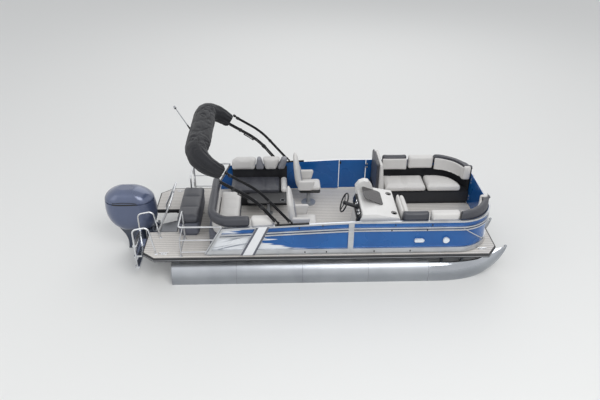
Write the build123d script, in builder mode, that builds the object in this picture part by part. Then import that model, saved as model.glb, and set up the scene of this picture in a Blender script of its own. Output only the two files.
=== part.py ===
from build123d import *
from math import cos, radians, sin, sqrt
import os

os.makedirs("parts", exist_ok=True)

# Millimetres. X runs forward, Y to port and Z up from the waterline, amidships.
# Hull and deck
deck_length = 6680
deck_beam = 2590
deck_z = 650
deck_thick = 30
stern_cut_x = 240
stern_cut_y = 200
bow_cut_x = 190
bow_cut_y = 255
well_length = 540
well_width = 800
rub_height = 80
rub_depth = 25
rub_round = 9
socket_x = -2340
socket_y = 260
socket_radius = 30
half_beam = deck_beam / 2
half_length = deck_length / 2
deck_under = deck_z - deck_thick

# Cross members and tubes: the tubes hang a riser's height under the members
member_height = 76
member_width = 38
member_wall = 5
member_pitch = 420
member_lead = 120
member_side_gap = 8
member_under = deck_under - member_height
riser_height = 96.5
tube_radius = 317.5
tube_spread = 960
tube_top = member_under - riser_height
tube_z = tube_top - tube_radius
keel_z = tube_z - tube_radius
tube_aft = -half_length + 520
nose_start = half_length - 1290
keel_proud = 14
keel_turn = 78
strip_thick = 10
eye_x = half_length + 222
eye_z = tube_top + 140.5
eye_radius = 30
eye_hole = 10
eye_drop = 28
eye_lead = 11

# Fences
fence_y = half_beam - 60
fence_x = half_length - 100
fence_depth = 32
fence_radius = 700
fence_low = 20
fence_top = 712
fence_top_aft = 600
fence_aft_foot_x = -half_length + 1190
fence_aft_top_x = fence_aft_foot_x + 330
skirt_top = 130
rail_height = 36
strip_height = 94
mid_rail = 28
mid_gap = 24
skin_thick = 4
post_width = 50
foot_width = 48
foot_pitch = 560
gate_aft_x = 520
gate_width = 580
gate_gap = 6
gate_fore_x = gate_aft_x + gate_width
joint_x = gate_aft_x + 10
bow_gate_half = 460
fence_inner_y = fence_y - fence_depth
skin_inner_y = fence_inner_y - skin_thick

# Rails of round tube
rail_radius = 16
low_rail_radius = 12
corner_bend = 60
flange_radius = 30
flange_thick = 6
stern_rail_x = -half_length + 740
stern_rail_z = fence_top_aft + 37
stern_rail_inner_y = 645
stern_gate_gap = 10

# Hinges of the gates
hinge_radius = 9
hinge_pin = 5
hinge_barrel = 36
hinge_leaf = 3
hinge_reach = 44
gate_low = 40
gate_rail = 32
gate_clear = 9

# Furniture, heights over the deck
seat_gap = 12
seat_base = 300
seat_top = 450
kick_height = 75
kick_inset = 45
back_thick = 160
bolster_top = 870
bench_top = 800
chaise_top = 850

# Outboard motor
transom_x = -half_length + 40
transom_thick = 44
transom_top = 445
transom_half = 330
tilt_x = transom_x - 45
tilt_z = 490
swivel_x = transom_x - 140
plate_z = -185
shaft_z = -405
propeller_x = transom_x - 605

running_gap = 0.3
pin_gap = 0.08
pieces = {}


def round_bar(points, radius, bend):
    """A tube of one radius along straight runs joined by bends."""
    with BuildPart() as bar:
        with BuildLine() as path:
            FilletPolyline(*points, radius=bend)
        with BuildSketch(Plane(path.line @ 0, z_dir=path.line % 0)):
            Circle(radius)
        sweep()
    return bar.part


def straight_bar(start, end, radius):
    """A straight tube between two points."""
    run = Vector(*end) - Vector(*start)
    with BuildPart() as bar:
        with BuildSketch(Plane(start, z_dir=run)):
            Circle(radius)
        extrude(amount=run.length)
    return bar.part


def cross_pin(x, z, y_low, y_high, radius):
    """A round pin on an axis across the boat."""
    return straight_bar((x, y_low, z), (x, y_high, z), radius)


def side_plate(points, y_low, y_high, corner=0):
    """A plate cut to a side view, from one Y to another, its corners rounded if asked."""
    with BuildPart() as plate:
        with BuildSketch(Plane.XZ.offset(-y_high)):
            with BuildLine():
                if corner:
                    FilletPolyline(*points, radius=corner, close=True)
                else:
                    Polyline(*points, close=True)
            make_face()
        extrude(amount=y_high - y_low)
    return plate.part


def over_deck(points):
    """Points of a side view given by height over the deck."""
    return [(x, deck_z + height) for x, height in points]


def slab(points, low, high, corner):
    """A block of one plan with rounded upright corners, heights over the deck."""
    with BuildPart() as block:
        with BuildSketch(Plane.XY.offset(deck_z + low)):
            with BuildLine():
                FilletPolyline(*points, radius=corner, close=True)
            make_face()
        extrude(amount=high - low)
    return block.part


def box_plan(x_low, x_high, y_low, y_high):
    """Four corners of a rectangle in plan."""
    return [(x_low, y_low), (x_high, y_low), (x_high, y_high), (x_low, y_high)]


def spread(start, end, pitch):
    """Evenly spaced places from start to end, about one pitch apart."""
    steps = max(1, round((end - start) / pitch))
    return [start + (end - start) * n / steps for n in range(steps + 1)]


def both(side, first, second):
    """Two distances from the centre plane as low and high Y on one side."""
    return sorted((side * first, side * second))


# Deck, its motor well and the socket for a removable table leg
with BuildSketch() as deck_plan:
    with BuildLine():
        Polyline(
            (-half_length, well_width / 2),
            (-half_length, half_beam - stern_cut_y),
            (-half_length + stern_cut_x, half_beam),
            (half_length - bow_cut_x, half_beam),
            (half_length, half_beam - bow_cut_y),
            (half_length, -half_beam + bow_cut_y),
            (half_length - bow_cut_x, -half_beam),
            (-half_length + stern_cut_x, -half_beam),
            (-half_length, -half_beam + stern_cut_y),
            (-half_length, -well_width / 2),
            (-half_length + well_length, -well_width / 2),
            (-half_length + well_length, well_width / 2),
            close=True,
        )
    make_face()

with BuildPart() as deck:
    with BuildSketch(Plane.XY.offset(deck_under)):
        add(deck_plan.sketch)
        offset(amount=-rub_depth, mode=Mode.REPLACE)
    extrude(amount=deck_thick)
    with Locations((socket_x, socket_y, deck_z)):
        Hole(socket_radius)
pieces["deck"] = deck

with BuildPart() as rub_rail:
    with BuildSketch(Plane.XY.offset(deck_z - rub_height)):
        add(deck_plan.sketch)
    extrude(amount=rub_height)
    chamfer(rub_rail.faces().sort_by(Axis.Z)[-1].edges() + rub_rail.faces().sort_by(Axis.Z)[0].edges(),
            length=rub_round)
    with BuildSketch(Plane.XY.offset(deck_z - rub_height)):
        add(deck_plan.sketch)
        offset(amount=-rub_depth, mode=Mode.REPLACE)
    extrude(amount=rub_height, mode=Mode.SUBTRACT)
pieces["rub_rail"] = rub_rail

# Tubes: a nose of lens-shaped sections and a keel strip that ends in a towing eye
# columns: distance along the nose, half width as a share of the tube's radius, rise of the top edge
nose_sections = [
    (0, 1, 0),
    (600, 0.898, 4.5),
    (950, 0.668, 22.5),
    (1280, 0.34, 67.5),
    (1490, 0.05, 127.5),
]
keel_radius = (eye_z - eye_drop - keel_z) / (1 - cos(radians(keel_turn)))
keel_start = eye_x + eye_lead - keel_radius * sin(radians(keel_turn))
keel_centre_z = keel_z + keel_radius
tube_places = (tube_spread, 0, -tube_spread)
tubes = []
for tube_y in tube_places:
    with BuildPart() as tube:
        with BuildSketch(Plane.YZ.offset(tube_aft)):
            with Locations((tube_y, tube_z)):
                Circle(tube_radius)
        extrude(amount=nose_start - tube_aft)
        for along, width_share, rise in nose_sections:
            x = nose_start + along
            top = tube_top + rise
            half_width = width_share * tube_radius
            low = keel_centre_z - sqrt(keel_radius**2 - max(0, x - keel_start) ** 2)
            middle = (low + top) / 2
            with BuildSketch(Plane.YZ.offset(x)):
                with BuildLine():
                    ThreePointArc((tube_y, low), (tube_y + half_width, middle), (tube_y, top))
                    ThreePointArc((tube_y, top), (tube_y - half_width, middle), (tube_y, low))
                make_face()
        loft()
        with BuildSketch(Plane.XZ.offset(-tube_y - strip_thick / 2)):
            with BuildLine():
                outer = CenterArc((keel_start, keel_centre_z), keel_radius + keel_proud, 270, keel_turn)
                inner = CenterArc((keel_start, keel_centre_z), keel_radius - keel_proud, 270, keel_turn)
                outer_run = Line((nose_start, keel_z - keel_proud), outer @ 0)
                inner_run = Line((nose_start, keel_z + keel_proud), inner @ 0)
                Line(outer_run @ 0, inner_run @ 0)
                Line(outer @ 1, inner @ 1)
            make_face()
            with Locations((eye_x, eye_z)):
                Circle(eye_radius)
        extrude(amount=strip_thick)
        with Locations(Plane.XZ.offset(-tube_y)):
            with Locations((eye_x, eye_z)):
                Cylinder(eye_hole, 2 * strip_thick, mode=Mode.SUBTRACT)
    tubes.append(tube.part)
with BuildPart() as tube_set:
    for tube_part in tubes:
        add(tube_part)
pieces["tubes"] = tube_set

# Risers: a hollow rail on each tube under the cross members, and a solid web over each nose
riser_half = 60
riser_foot = 150
riser_wall = 6
web_half = 20
web_end = half_length - 140
member_first = tube_aft + member_lead
riser_low = tube_z + tube_radius / 2
with BuildPart() as tube_risers:
    for tube_y, tube_part in zip(tube_places, tubes):
        with BuildSketch(Plane.YZ.offset(member_first)):
            for inset in (0, riser_wall):
                with BuildLine():
                    Polyline(
                        (tube_y - riser_foot + inset, riser_low),
                        (tube_y - riser_half + inset, member_under - inset),
                        (tube_y + riser_half - inset, member_under - inset),
                        (tube_y + riser_foot - inset, riser_low),
                        close=True,
                    )
                make_face(mode=Mode.SUBTRACT if inset else Mode.ADD)
            with Locations((tube_y, tube_z)):
                Circle(tube_radius + running_gap, mode=Mode.SUBTRACT)
        extrude(amount=nose_start - member_first)
        with Locations(((nose_start + web_end) / 2, tube_y, (riser_low + member_under) / 2)):
            Box(web_end - nose_start, 2 * web_half, member_under - riser_low)
        add(tube_part.moved(Location((0, 0, running_gap))), mode=Mode.SUBTRACT)
pieces["tube_risers"] = tube_risers

# Cross members: channels from side to side, and short ones beside the motor well
member_half = half_beam - rub_depth - member_side_gap
member_well = well_width / 2 + rub_depth + member_side_gap
member_end = half_length - member_lead
member_count = int((member_end - member_first) / member_pitch) + 1
with BuildPart() as cross_members:
    member_spans = [(member_first + n * member_pitch, -member_half, member_half) for n in range(member_count)]
    for x in (member_first - member_pitch / 2, member_first - member_pitch):
        member_spans.append((x, member_well, member_half))
        member_spans.append((x, -member_half, -member_well))
    for x, y_low, y_high in member_spans:
        with BuildSketch(Plane.XZ.offset(-y_high)):
            with Locations((x + member_width / 2, member_under + member_height / 2)):
                Rectangle(member_width, member_height)
            with Locations((x + member_width / 2 + member_wall, member_under + member_height / 2)):
                Rectangle(member_width, member_height - 2 * member_wall, mode=Mode.SUBTRACT)
        extrude(amount=y_high - y_low)
    with BuildSketch(Plane.XY.offset(member_under)):
        add(deck_plan.sketch)
        offset(amount=-rub_depth - member_side_gap, mode=Mode.REPLACE)
    extrude(amount=member_height, mode=Mode.INTERSECT)
pieces["cross_members"] = cross_members

# Pod and transom plate for the motor
pod_half = 240
pod_drop = 40
pod_keel = -120
pod_chine = 250
with BuildPart() as motor_pod:
    add(side_plate([
        (tube_aft, member_under - pod_drop),
        (transom_x, transom_top - 60),
        (transom_x, -pod_drop),
        (tube_aft, pod_keel),
    ], -pod_half, pod_half))
    with BuildSketch(Plane.YZ.offset(transom_x)):
        with BuildLine():
            Polyline(
                (-pod_half, -pod_drop), (-transom_half, pod_chine), (-transom_half, transom_top),
                (transom_half, transom_top), (transom_half, pod_chine), (pod_half, -pod_drop), close=True)
        make_face()
    extrude(amount=transom_thick)
pieces["motor_pod"] = motor_pod

# Fences. Abaft the joint they slope down to a raked end; forward they turn round the bow.
fence_slope = (fence_top - fence_top_aft) / (joint_x - fence_aft_top_x)
rake_slope = (fence_aft_top_x - fence_aft_foot_x) / (fence_top_aft - fence_low)


def fence_height(x):
    """Height of the fence's top over the deck at one place along the boat."""
    return fence_top - fence_slope * max(0, joint_x - x)


def rake_x(height):
    """Place of the raked aft end at one height over the deck."""
    return fence_aft_foot_x + (height - fence_low) * rake_slope


def strip_low(x):
    """Height of the lower edge of the strip window."""
    return fence_height(x) - rail_height - strip_height


def main_high(x):
    """Height of the upper edge of the main window."""
    return strip_low(x) - 2 * mid_rail - mid_gap


def band_points(x_fore, low, high, aft_shift):
    """Four corners of a window, its aft edge along the rake."""
    aft_height = high(fence_aft_top_x)
    return over_deck([
        (rake_x(low) + aft_shift, low),
        (x_fore, low),
        (x_fore, high(x_fore)),
        (rake_x(aft_height) + aft_shift, aft_height),
    ])


def aft_fence(x_fore, y_low, y_high):
    """Frame of rails with the main window, the gap between mid rails and the strip window."""
    inner_fore = x_fore - post_width
    strip_aft = strip_low(fence_aft_top_x)
    gap_aft = strip_aft - mid_rail - mid_gap
    gap_fore = strip_low(inner_fore) - mid_rail - mid_gap
    strip = over_deck([
        (rake_x(strip_aft) + post_width, strip_aft),
        (inner_fore, strip_low(inner_fore)),
        (inner_fore, fence_height(inner_fore) - rail_height),
        (fence_aft_top_x + post_width / 2, fence_top_aft - rail_height),
    ])
    gap = over_deck([
        (rake_x(gap_aft) + post_width, gap_aft),
        (inner_fore, gap_fore),
        (inner_fore, gap_fore + mid_gap),
        (rake_x(gap_aft + mid_gap) + post_width, gap_aft + mid_gap),
    ])
    with BuildPart() as frame:
        add(side_plate(band_points(x_fore, fence_low, fence_height, 0), y_low, y_high))
        add(side_plate(band_points(inner_fore, skirt_top, main_high, post_width), y_low, y_high),
            mode=Mode.SUBTRACT)
        add(side_plate(strip, y_low, y_high), mode=Mode.SUBTRACT)
        add(side_plate(gap, y_low, y_high), mode=Mode.SUBTRACT)
    return frame.part


def bow_band(x_aft, outset, thick, side, low, high, gate_half=bow_gate_half):
    """A rail bent round the bow corner, between two heights over the deck."""
    gate_y = side * gate_half
    runs = []
    with BuildPart() as band:
        with BuildSketch(Plane.XY.offset(deck_z + low)):
            with BuildLine():
                for inset in (outset, outset + thick):
                    edge_y = side * (fence_y - inset)
                    runs.append(FilletPolyline(
                        (x_aft, edge_y), (fence_x - inset, edge_y), (fence_x - inset, gate_y),
                        radius=fence_radius - inset))
                Line(runs[0] @ 0, runs[1] @ 0)
                Line(runs[0] @ 1, runs[1] @ 1)
            make_face()
        extrude(amount=high - low)
    return band.part


def bow_fence(x_aft, side):
    """Bow fence: skirt, two mid rails, top rail and the posts at its ends."""
    rails = [
        (fence_low, skirt_top),
        (main_high(joint_x), main_high(joint_x) + mid_rail),
        (strip_low(joint_x) - mid_rail, strip_low(joint_x)),
        (fence_top - rail_height, fence_top),
    ]
    post_height = fence_top - fence_low
    middle_z = deck_z + (fence_low + fence_top) / 2
    with BuildPart() as frame:
        for low, high in rails:
            add(bow_band(x_aft, 0, fence_depth, side, low, high))
        with Locations((x_aft + post_width / 2, side * (fence_y - fence_depth / 2), middle_z)):
            Box(post_width, fence_depth, post_height)
        with Locations((fence_x - fence_depth / 2, side * (bow_gate_half + post_width / 2), middle_z)):
            Box(fence_depth, post_width, post_height)
    return frame.part


def fence_foot(x, side):
    """A short bracket from the deck up to a fence."""
    with BuildPart() as foot:
        with Locations((x, side * (fence_y - fence_depth / 2), deck_z + fence_low / 2)):
            Box(foot_width, fence_depth, fence_low)
    return foot.part


# columns: side, forward end of the aft run, aft end of the bow run
fence_runs = [
    (-1, joint_x, joint_x + running_gap),
    (1, gate_aft_x - gate_gap, gate_fore_x + gate_gap),
]
foot_inset = 80
with BuildPart() as fences_aft:
    for side, aft_end, bow_start in fence_runs:
        add(aft_fence(aft_end, *both(side, fence_inner_y, fence_y)))
        for x in spread(fence_aft_foot_x + foot_inset, aft_end - foot_inset, foot_pitch):
            add(fence_foot(x, side))
pieces["fences_aft"] = fences_aft

with BuildPart() as fences_bow:
    for side, aft_end, bow_start in fence_runs:
        add(bow_fence(bow_start, side))
        for x in spread(bow_start + foot_inset, fence_x - fence_radius - 4 * foot_inset, foot_pitch):
            add(fence_foot(x, side))
        gate_foot_y = side * (bow_gate_half + post_width)
        with Locations((fence_x - fence_depth / 2, gate_foot_y, deck_z + fence_low / 2)):
            Box(fence_depth, post_width, fence_low)
pieces["fences_bow"] = fences_bow

panel_inset = 10
with BuildPart() as panels:
    for side, aft_end, bow_start in fence_runs:
        add(side_plate(band_points(aft_end, fence_low, fence_height, panel_inset),
                       *both(side, skin_inner_y, fence_inner_y)))
        add(bow_band(bow_start, fence_depth, skin_thick, side, fence_low, fence_top))
pieces["panels"] = panels

# Raked accent panels that stand proud of the fences: distances forward of the fence's aft corners
accent_foot = (640, 910)
accent_top = (620, 870)
accent_thick = 14
with BuildPart() as accent_panels:
    foot_aft, foot_fore = (fence_aft_foot_x + reach for reach in accent_foot)
    top_aft, top_fore = (fence_aft_top_x + reach for reach in accent_top)
    for side in (1, -1):
        add(side_plate(over_deck([
            (foot_aft, fence_low),
            (foot_fore, fence_low),
            (top_fore, fence_height(top_fore)),
            (top_aft, fence_height(top_aft)),
        ]), *both(side, fence_y + running_gap, fence_y + accent_thick)))
pieces["accent_panels"] = accent_panels


def gate_frame(width, low, high, rail):
    """A gate in its own plane, hinge edge at zero: outer rails and one mid rail."""
    with BuildSketch() as gate:
        with Locations((width / 2, (low + high) / 2)):
            Rectangle(width, high - low)
            Rectangle(width - 2 * rail, high - low - 2 * rail, mode=Mode.SUBTRACT)
        with Locations((width / 2, strip_low(joint_x) - mid_rail / 2)):
            Rectangle(width, mid_rail)
    return gate.sketch


def knuckle(x, y, low, hole):
    """A hinge barrel on an upright axis, bored for its pin."""
    with BuildPart() as barrel:
        with BuildSketch(Plane.XY.offset(low)):
            with Locations((x, y)):
                Circle(hinge_radius)
                Circle(hole, mode=Mode.SUBTRACT)
        extrude(amount=hinge_barrel)
    return barrel.part


def leaf(leaf_x, leaf_y, low):
    """A flat hinge leaf between two corners in plan."""
    with BuildPart() as plate:
        with BuildSketch(Plane.XY.offset(low)):
            with Locations((sum(leaf_x) / 2, sum(leaf_y) / 2)):
                Rectangle(abs(leaf_x[1] - leaf_x[0]), abs(leaf_y[1] - leaf_y[0]))
        extrude(amount=hinge_barrel)
    return plate.part


def hinge_post(x, y, low, leaf_x, leaf_y):
    """The fixed half of a hinge: two barrels, the pin through them and their leaves."""
    lowest = low - hinge_barrel - running_gap
    with BuildPart() as post:
        for start in (lowest, low + hinge_barrel + running_gap):
            add(knuckle(x, y, start, hinge_pin - 1))
            add(leaf(leaf_x, leaf_y, start))
        add(straight_bar((x, y, lowest), (x, y, low + 2 * hinge_barrel + running_gap), hinge_pin))
    return post.part


def hinge_arm(x, y, low, leaf_x, leaf_y):
    """The moving half of a hinge: one bored barrel and its leaf."""
    bore = hinge_pin + pin_gap
    with BuildPart() as arm:
        add(knuckle(x, y, low, bore))
        add(leaf(leaf_x, leaf_y, low))
        add(straight_bar((x, y, low), (x, y, low + hinge_barrel), bore), mode=Mode.SUBTRACT)
    return arm.part


hinge_levels = [deck_z + fence_low + 150, deck_z + fence_top - 152]
side_hinge = (gate_fore_x, skin_inner_y - hinge_radius)
bow_hinge = (fence_x - fence_depth - skin_thick - hinge_radius, bow_gate_half - gate_clear / 2)
side_leaf_y = (skin_inner_y, skin_inner_y - hinge_leaf)
bow_leaf_x = (fence_x - fence_depth - skin_thick, fence_x - fence_depth - skin_thick - hinge_leaf)
with BuildPart() as gate_hinges:
    for level in hinge_levels:
        add(hinge_post(*side_hinge, level, (side_hinge[0], side_hinge[0] + hinge_reach), side_leaf_y))
        add(hinge_post(*bow_hinge, level, bow_leaf_x, (bow_hinge[1], bow_hinge[1] + hinge_reach)))
pieces["gate_hinges"] = gate_hinges

gate_middle_z = deck_z + (gate_low + fence_top) / 2
gate_height = fence_top - gate_low
side_gate_width = gate_width - 2 * gate_clear
with BuildPart() as side_gate:
    with BuildSketch(Plane((gate_aft_x + gate_clear, fence_y, deck_z), x_dir=(1, 0, 0), z_dir=(0, -1, 0))):
        add(gate_frame(side_gate_width, gate_low, fence_top, gate_rail))
    extrude(amount=fence_depth)
pieces["side_gate"] = side_gate
with BuildPart() as side_gate_panel:
    with Locations((gate_aft_x + gate_width / 2, fence_inner_y - skin_thick / 2, gate_middle_z)):
        Box(side_gate_width, skin_thick, gate_height)
    for level in hinge_levels:
        add(hinge_arm(*side_hinge, level, (side_hinge[0] - hinge_reach, side_hinge[0]), side_leaf_y))
pieces["side_gate_panel"] = side_gate_panel

bow_gate_width = 2 * (bow_gate_half - gate_clear)
bow_gate_plane = Plane((fence_x - fence_depth, -bow_gate_width / 2, deck_z), x_dir=(0, 1, 0), z_dir=(1, 0, 0))
with BuildPart() as bow_gate:
    with BuildSketch(bow_gate_plane):
        add(gate_frame(bow_gate_width, gate_low, fence_top, gate_rail))
    extrude(amount=fence_depth)
pieces["bow_gate"] = bow_gate
with BuildPart() as bow_gate_panel:
    with Locations((fence_x - fence_depth - skin_thick / 2, 0, gate_middle_z)):
        Box(skin_thick, bow_gate_width, gate_height)
    for level in hinge_levels:
        add(hinge_arm(*bow_hinge, level, bow_leaf_x, (bow_hinge[1] - hinge_reach, bow_hinge[1])))
pieces["bow_gate_panel"] = bow_gate_panel


def flange(x, y, radius=flange_radius):
    """A round foot plate for a tube on the deck."""
    with BuildPart() as plate:
        with Locations((x, y, deck_z + running_gap + flange_thick / 2)):
            Cylinder(radius, flange_thick)
    return plate.part


# Stern rails: fixed along each side, a fixed return to starboard and a gate to port
rail_y = fence_y - rail_radius
rake_gap = (rail_radius + running_gap) * sqrt(1 + rake_slope**2)
post_foot_z = deck_z + flange_thick / 2
top_rail_z = deck_z + stern_rail_z
low_rail_heights = (354, 90)
rake_foot = 40
stern_gate_low = deck_z + 60
stern_gate_hinge_y = rail_y - 2 * rail_radius - stern_gate_gap
stern_pin = (stern_rail_x - rail_radius - hinge_radius, rail_y - rail_radius - stern_gate_gap / 2)
stern_leaf_x = (stern_pin[0] + 2, stern_rail_x - 4)
stern_levels = [deck_z + 130, deck_z + 440]
with BuildPart() as stern_rails:
    for side in (1, -1):
        y = side * rail_y
        run = [(rake_x(stern_rail_z) - rake_gap, y, top_rail_z), (stern_rail_x, y, top_rail_z)]
        if side > 0:
            run.append((stern_rail_x, y, post_foot_z))
        else:
            run.append((stern_rail_x, -stern_rail_inner_y, top_rail_z))
            run.append((stern_rail_x, -stern_rail_inner_y, post_foot_z))
        add(round_bar(run, rail_radius, corner_bend))
        add(flange(stern_rail_x, y))
        add(straight_bar((rake_x(rake_foot) - rake_gap, y, deck_z + rake_foot), run[0], rail_radius))
        for height in low_rail_heights:
            z = deck_z + height
            add(straight_bar((rake_x(height) - rake_gap, y, z), (stern_rail_x, y, z), low_rail_radius))
    add(flange(stern_rail_x, -stern_rail_inner_y))
    corner_top_z = deck_z + low_rail_heights[0] + low_rail_radius
    add(straight_bar((stern_rail_x, -rail_y, post_foot_z), (stern_rail_x, -rail_y, corner_top_z),
                     low_rail_radius + 1))
    for height in low_rail_heights:
        z = deck_z + height
        add(straight_bar((stern_rail_x, -rail_y, z), (stern_rail_x, -stern_rail_inner_y, z), low_rail_radius))
    for level in stern_levels:
        add(hinge_post(*stern_pin, level, stern_leaf_x, (stern_pin[1], rail_y)))
pieces["stern_rails"] = stern_rails

with BuildPart() as stern_gate:
    add(round_bar([
        (stern_rail_x, stern_gate_hinge_y, stern_gate_low),
        (stern_rail_x, stern_gate_hinge_y, top_rail_z),
        (stern_rail_x, stern_rail_inner_y, top_rail_z),
        (stern_rail_x, stern_rail_inner_y, stern_gate_low),
    ], rail_radius, corner_bend))
    for height in low_rail_heights:
        z = deck_z + height
        add(straight_bar((stern_rail_x, stern_gate_hinge_y, z), (stern_rail_x, stern_rail_inner_y, z),
                         low_rail_radius))
    for level in stern_levels:
        add(hinge_arm(*stern_pin, level, stern_leaf_x, (stern_gate_hinge_y, stern_pin[1])))
pieces["stern_gate"] = stern_gate

# Boarding ladder: arched handrails over the stern edge, hollow legs and a section that slides in them
ladder_y = -half_beam + 415
ladder_half = 270
ladder_rail = 15
ladder_bore = 12
ladder_foot_x = -half_length + 270
ladder_aft_x = -half_length - 110
ladder_lean = 90
ladder_arch = 600
ladder_fall = 60
ladder_bottom = -300
ladder_slide = 300
ladder_bend = 90
tread_depth = 76
tread_thick = 24
tread_levels = (170, -60, ladder_bottom + tread_thick / 2)
standoff_depth = 36
ladder_sides = (ladder_y - ladder_half, ladder_y + ladder_half)
ladder_end = deck_z + ladder_bottom
with BuildPart() as ladder_rails:
    for y in ladder_sides:
        add(flange(ladder_foot_x, y))
        add(round_bar([
            (ladder_foot_x, y, deck_z + flange_thick),
            (ladder_foot_x - ladder_lean, y, deck_z + ladder_arch),
            (ladder_aft_x, y, deck_z + ladder_arch - ladder_fall),
            (ladder_aft_x, y, ladder_end),
        ], ladder_rail, ladder_bend))
    for height in tread_levels:
        with BuildSketch(Plane.XY.offset(deck_z + height - tread_thick / 2)):
            with Locations((ladder_aft_x, ladder_y)):
                RectangleRounded(tread_depth, 2 * ladder_half, tread_depth / 4)
        extrude(amount=tread_thick)
    with Locations(((ladder_aft_x - half_length) / 2, ladder_y, deck_z - rub_height / 2)):
        Box(-half_length - ladder_aft_x - 2 * running_gap, 2 * ladder_half, standoff_depth)
    for y in ladder_sides:
        bore_top = ladder_end + ladder_slide + 120
        add(straight_bar((ladder_aft_x, y, ladder_end - 1), (ladder_aft_x, y, bore_top), ladder_bore),
            mode=Mode.SUBTRACT)
pieces["ladder_rails"] = ladder_rails

slide_top = ladder_end + ladder_slide + 80
with BuildPart() as ladder_lower:
    for y in ladder_sides:
        add(straight_bar((ladder_aft_x, y, ladder_end - tread_thick), (ladder_aft_x, y, slide_top),
                         ladder_bore - running_gap))
    with BuildSketch(Plane.XY.offset(ladder_end - tread_thick - running_gap)):
        with Locations((ladder_aft_x, ladder_y)):
            RectangleRounded(tread_depth, 2 * (ladder_half + ladder_rail), tread_depth / 4)
    extrude(amount=tread_thick)
pieces["ladder_lower"] = ladder_lower

# Tow bar over the motor well, a pin for the tow rope on its crown
tow_foot_x = -half_length + 220
tow_top_x = tow_foot_x + 260
tow_half = well_width / 2 + 70
tow_lean = 20
tow_run = 80
tow_rise = 640
tow_radius = 19
tow_flange = 36
tow_bend = 50
tow_pin = 12
tow_pin_top = 62
tow_collar = 24
tow_collar_radius = 22
tow_crown = deck_z + tow_rise
with BuildPart() as tow_bar:
    add(round_bar([
        (tow_foot_x, -tow_half, deck_z + flange_thick),
        (tow_foot_x, -tow_half, deck_z + tow_run),
        (tow_top_x, -tow_half + tow_lean, tow_crown),
        (tow_top_x, tow_half - tow_lean, tow_crown),
        (tow_foot_x, tow_half, deck_z + tow_run),
        (tow_foot_x, tow_half, deck_z + flange_thick),
    ], tow_radius, tow_bend))
    for y in (-tow_half, tow_half):
        add(flange(tow_foot_x, y, tow_flange))
    add(straight_bar((tow_top_x, 0, tow_crown), (tow_top_x, 0, tow_crown + tow_collar), tow_collar_radius))
    add(straight_bar((tow_top_x, 0, tow_crown), (tow_top_x, 0, tow_crown + tow_pin_top), tow_pin))
pieces["tow_bar"] = tow_bar

# Cleats at the four corners: a base plate, two posts and a horn with round ends
# columns: place along, distance in from the side
cleat_places = [(half_length - 300, 165), (-half_length + 410, 145)]
cleat_half = 88
cleat_post = 30
cleat_round = 9
cleat_rise = 34
cleat_base = (116, 34, 5)


def cleat_horn(x, y):
    """The horn of one cleat, its ends rounded."""
    with BuildPart() as horn:
        add(straight_bar((x - cleat_half, y, deck_z + cleat_rise), (x + cleat_half, y, deck_z + cleat_rise),
                         cleat_round))
        fillet(horn.edges().filter_by(GeomType.CIRCLE), radius=0.7 * cleat_round)
    return horn.part


with BuildPart() as cleats:
    for x, inset in cleat_places:
        for side in (1, -1):
            y = side * (half_beam - inset)
            with BuildSketch(Plane.XY.offset(deck_z)):
                with Locations((x, y)):
                    SlotOverall(cleat_base[0], cleat_base[1])
            extrude(amount=cleat_base[2])
            for reach in (-cleat_post, cleat_post):
                add(straight_bar((x + reach, y, deck_z), (x + reach, y, deck_z + cleat_rise), cleat_round))
            add(cleat_horn(x, y))
pieces["cleats"] = cleats

# Docking and side lights, seated on the bow fence's panels
light_z = deck_z + 290
light_round_x = fence_x - 940
light_round = 52
light_slot_x = fence_x - 1440
light_slot = (170, 60)
light_depth = 46
with BuildPart() as bow_lights:
    for side in (1, -1):
        panel_y = side * (fence_inner_y + running_gap)
        with BuildSketch(Plane((light_round_x, panel_y, light_z), x_dir=(1, 0, 0), z_dir=(0, side, 0))):
            Circle(light_round)
            with Locations((light_slot_x - light_round_x, 0)):
                SlotOverall(*light_slot)
        extrude(amount=light_depth)
pieces["bow_lights"] = bow_lights


def kick_base(points, kick_points, corner):
    """A moulded seat base over a set-back kick."""
    with BuildPart() as base:
        add(slab(kick_points, running_gap, kick_height, corner))
        add(slab(points, kick_height, seat_base, corner))
    return base.part


# Aft lounge, between the two ways to the stern
bench_aft_x = fence_aft_foot_x + 40
lounge_span = (bench_aft_x - 610, bench_aft_x - 220)
lounge_half = 590
lounge_over = 20
with BuildPart() as aft_lounge_base:
    add(kick_base(box_plan(*lounge_span, -lounge_half, lounge_half),
                  box_plan(lounge_span[0] + kick_inset, lounge_span[1] - kick_inset,
                           -lounge_half + kick_inset, lounge_half - kick_inset), 50))
with BuildPart() as aft_lounge_cushion:
    add(slab(box_plan(lounge_span[0] - lounge_over, lounge_span[1] + lounge_over,
                      -lounge_half - lounge_over, lounge_half + lounge_over),
             seat_base + running_gap, seat_top, 70))

# Corner bench to starboard: an athwart leg and a side leg
bench_outer_y = -(skin_inner_y - seat_gap)
bench_front_x = bench_aft_x + 570
bench_front_y = bench_outer_y + 587
bench_split_x = bench_front_x + 230
bench_end_x = -860
bench_port_y = 420
bench_corner = 420
bench_small = 40


def bench_block(inset, front, low, high):
    """The bench's plan set in from its back by one amount and from its front by another."""
    points = [
        (bench_aft_x + inset, bench_port_y - front),
        (bench_aft_x + inset, bench_outer_y + inset),
        (bench_end_x - front, bench_outer_y + inset),
        (bench_end_x - front, bench_front_y - front),
        (bench_front_x - front, bench_front_y - front),
        (bench_front_x - front, bench_port_y - front),
    ]
    radii = [bench_small, bench_corner - inset, bench_small, bench_small, 1.5 * bench_small, bench_small]
    with BuildPart() as block:
        with BuildSketch(Plane.XY.offset(deck_z + low)):
            with BuildLine():
                FilletPolyline(*points, radius=radii, close=True)
            make_face()
        extrude(amount=high - low)
    return block.part


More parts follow.
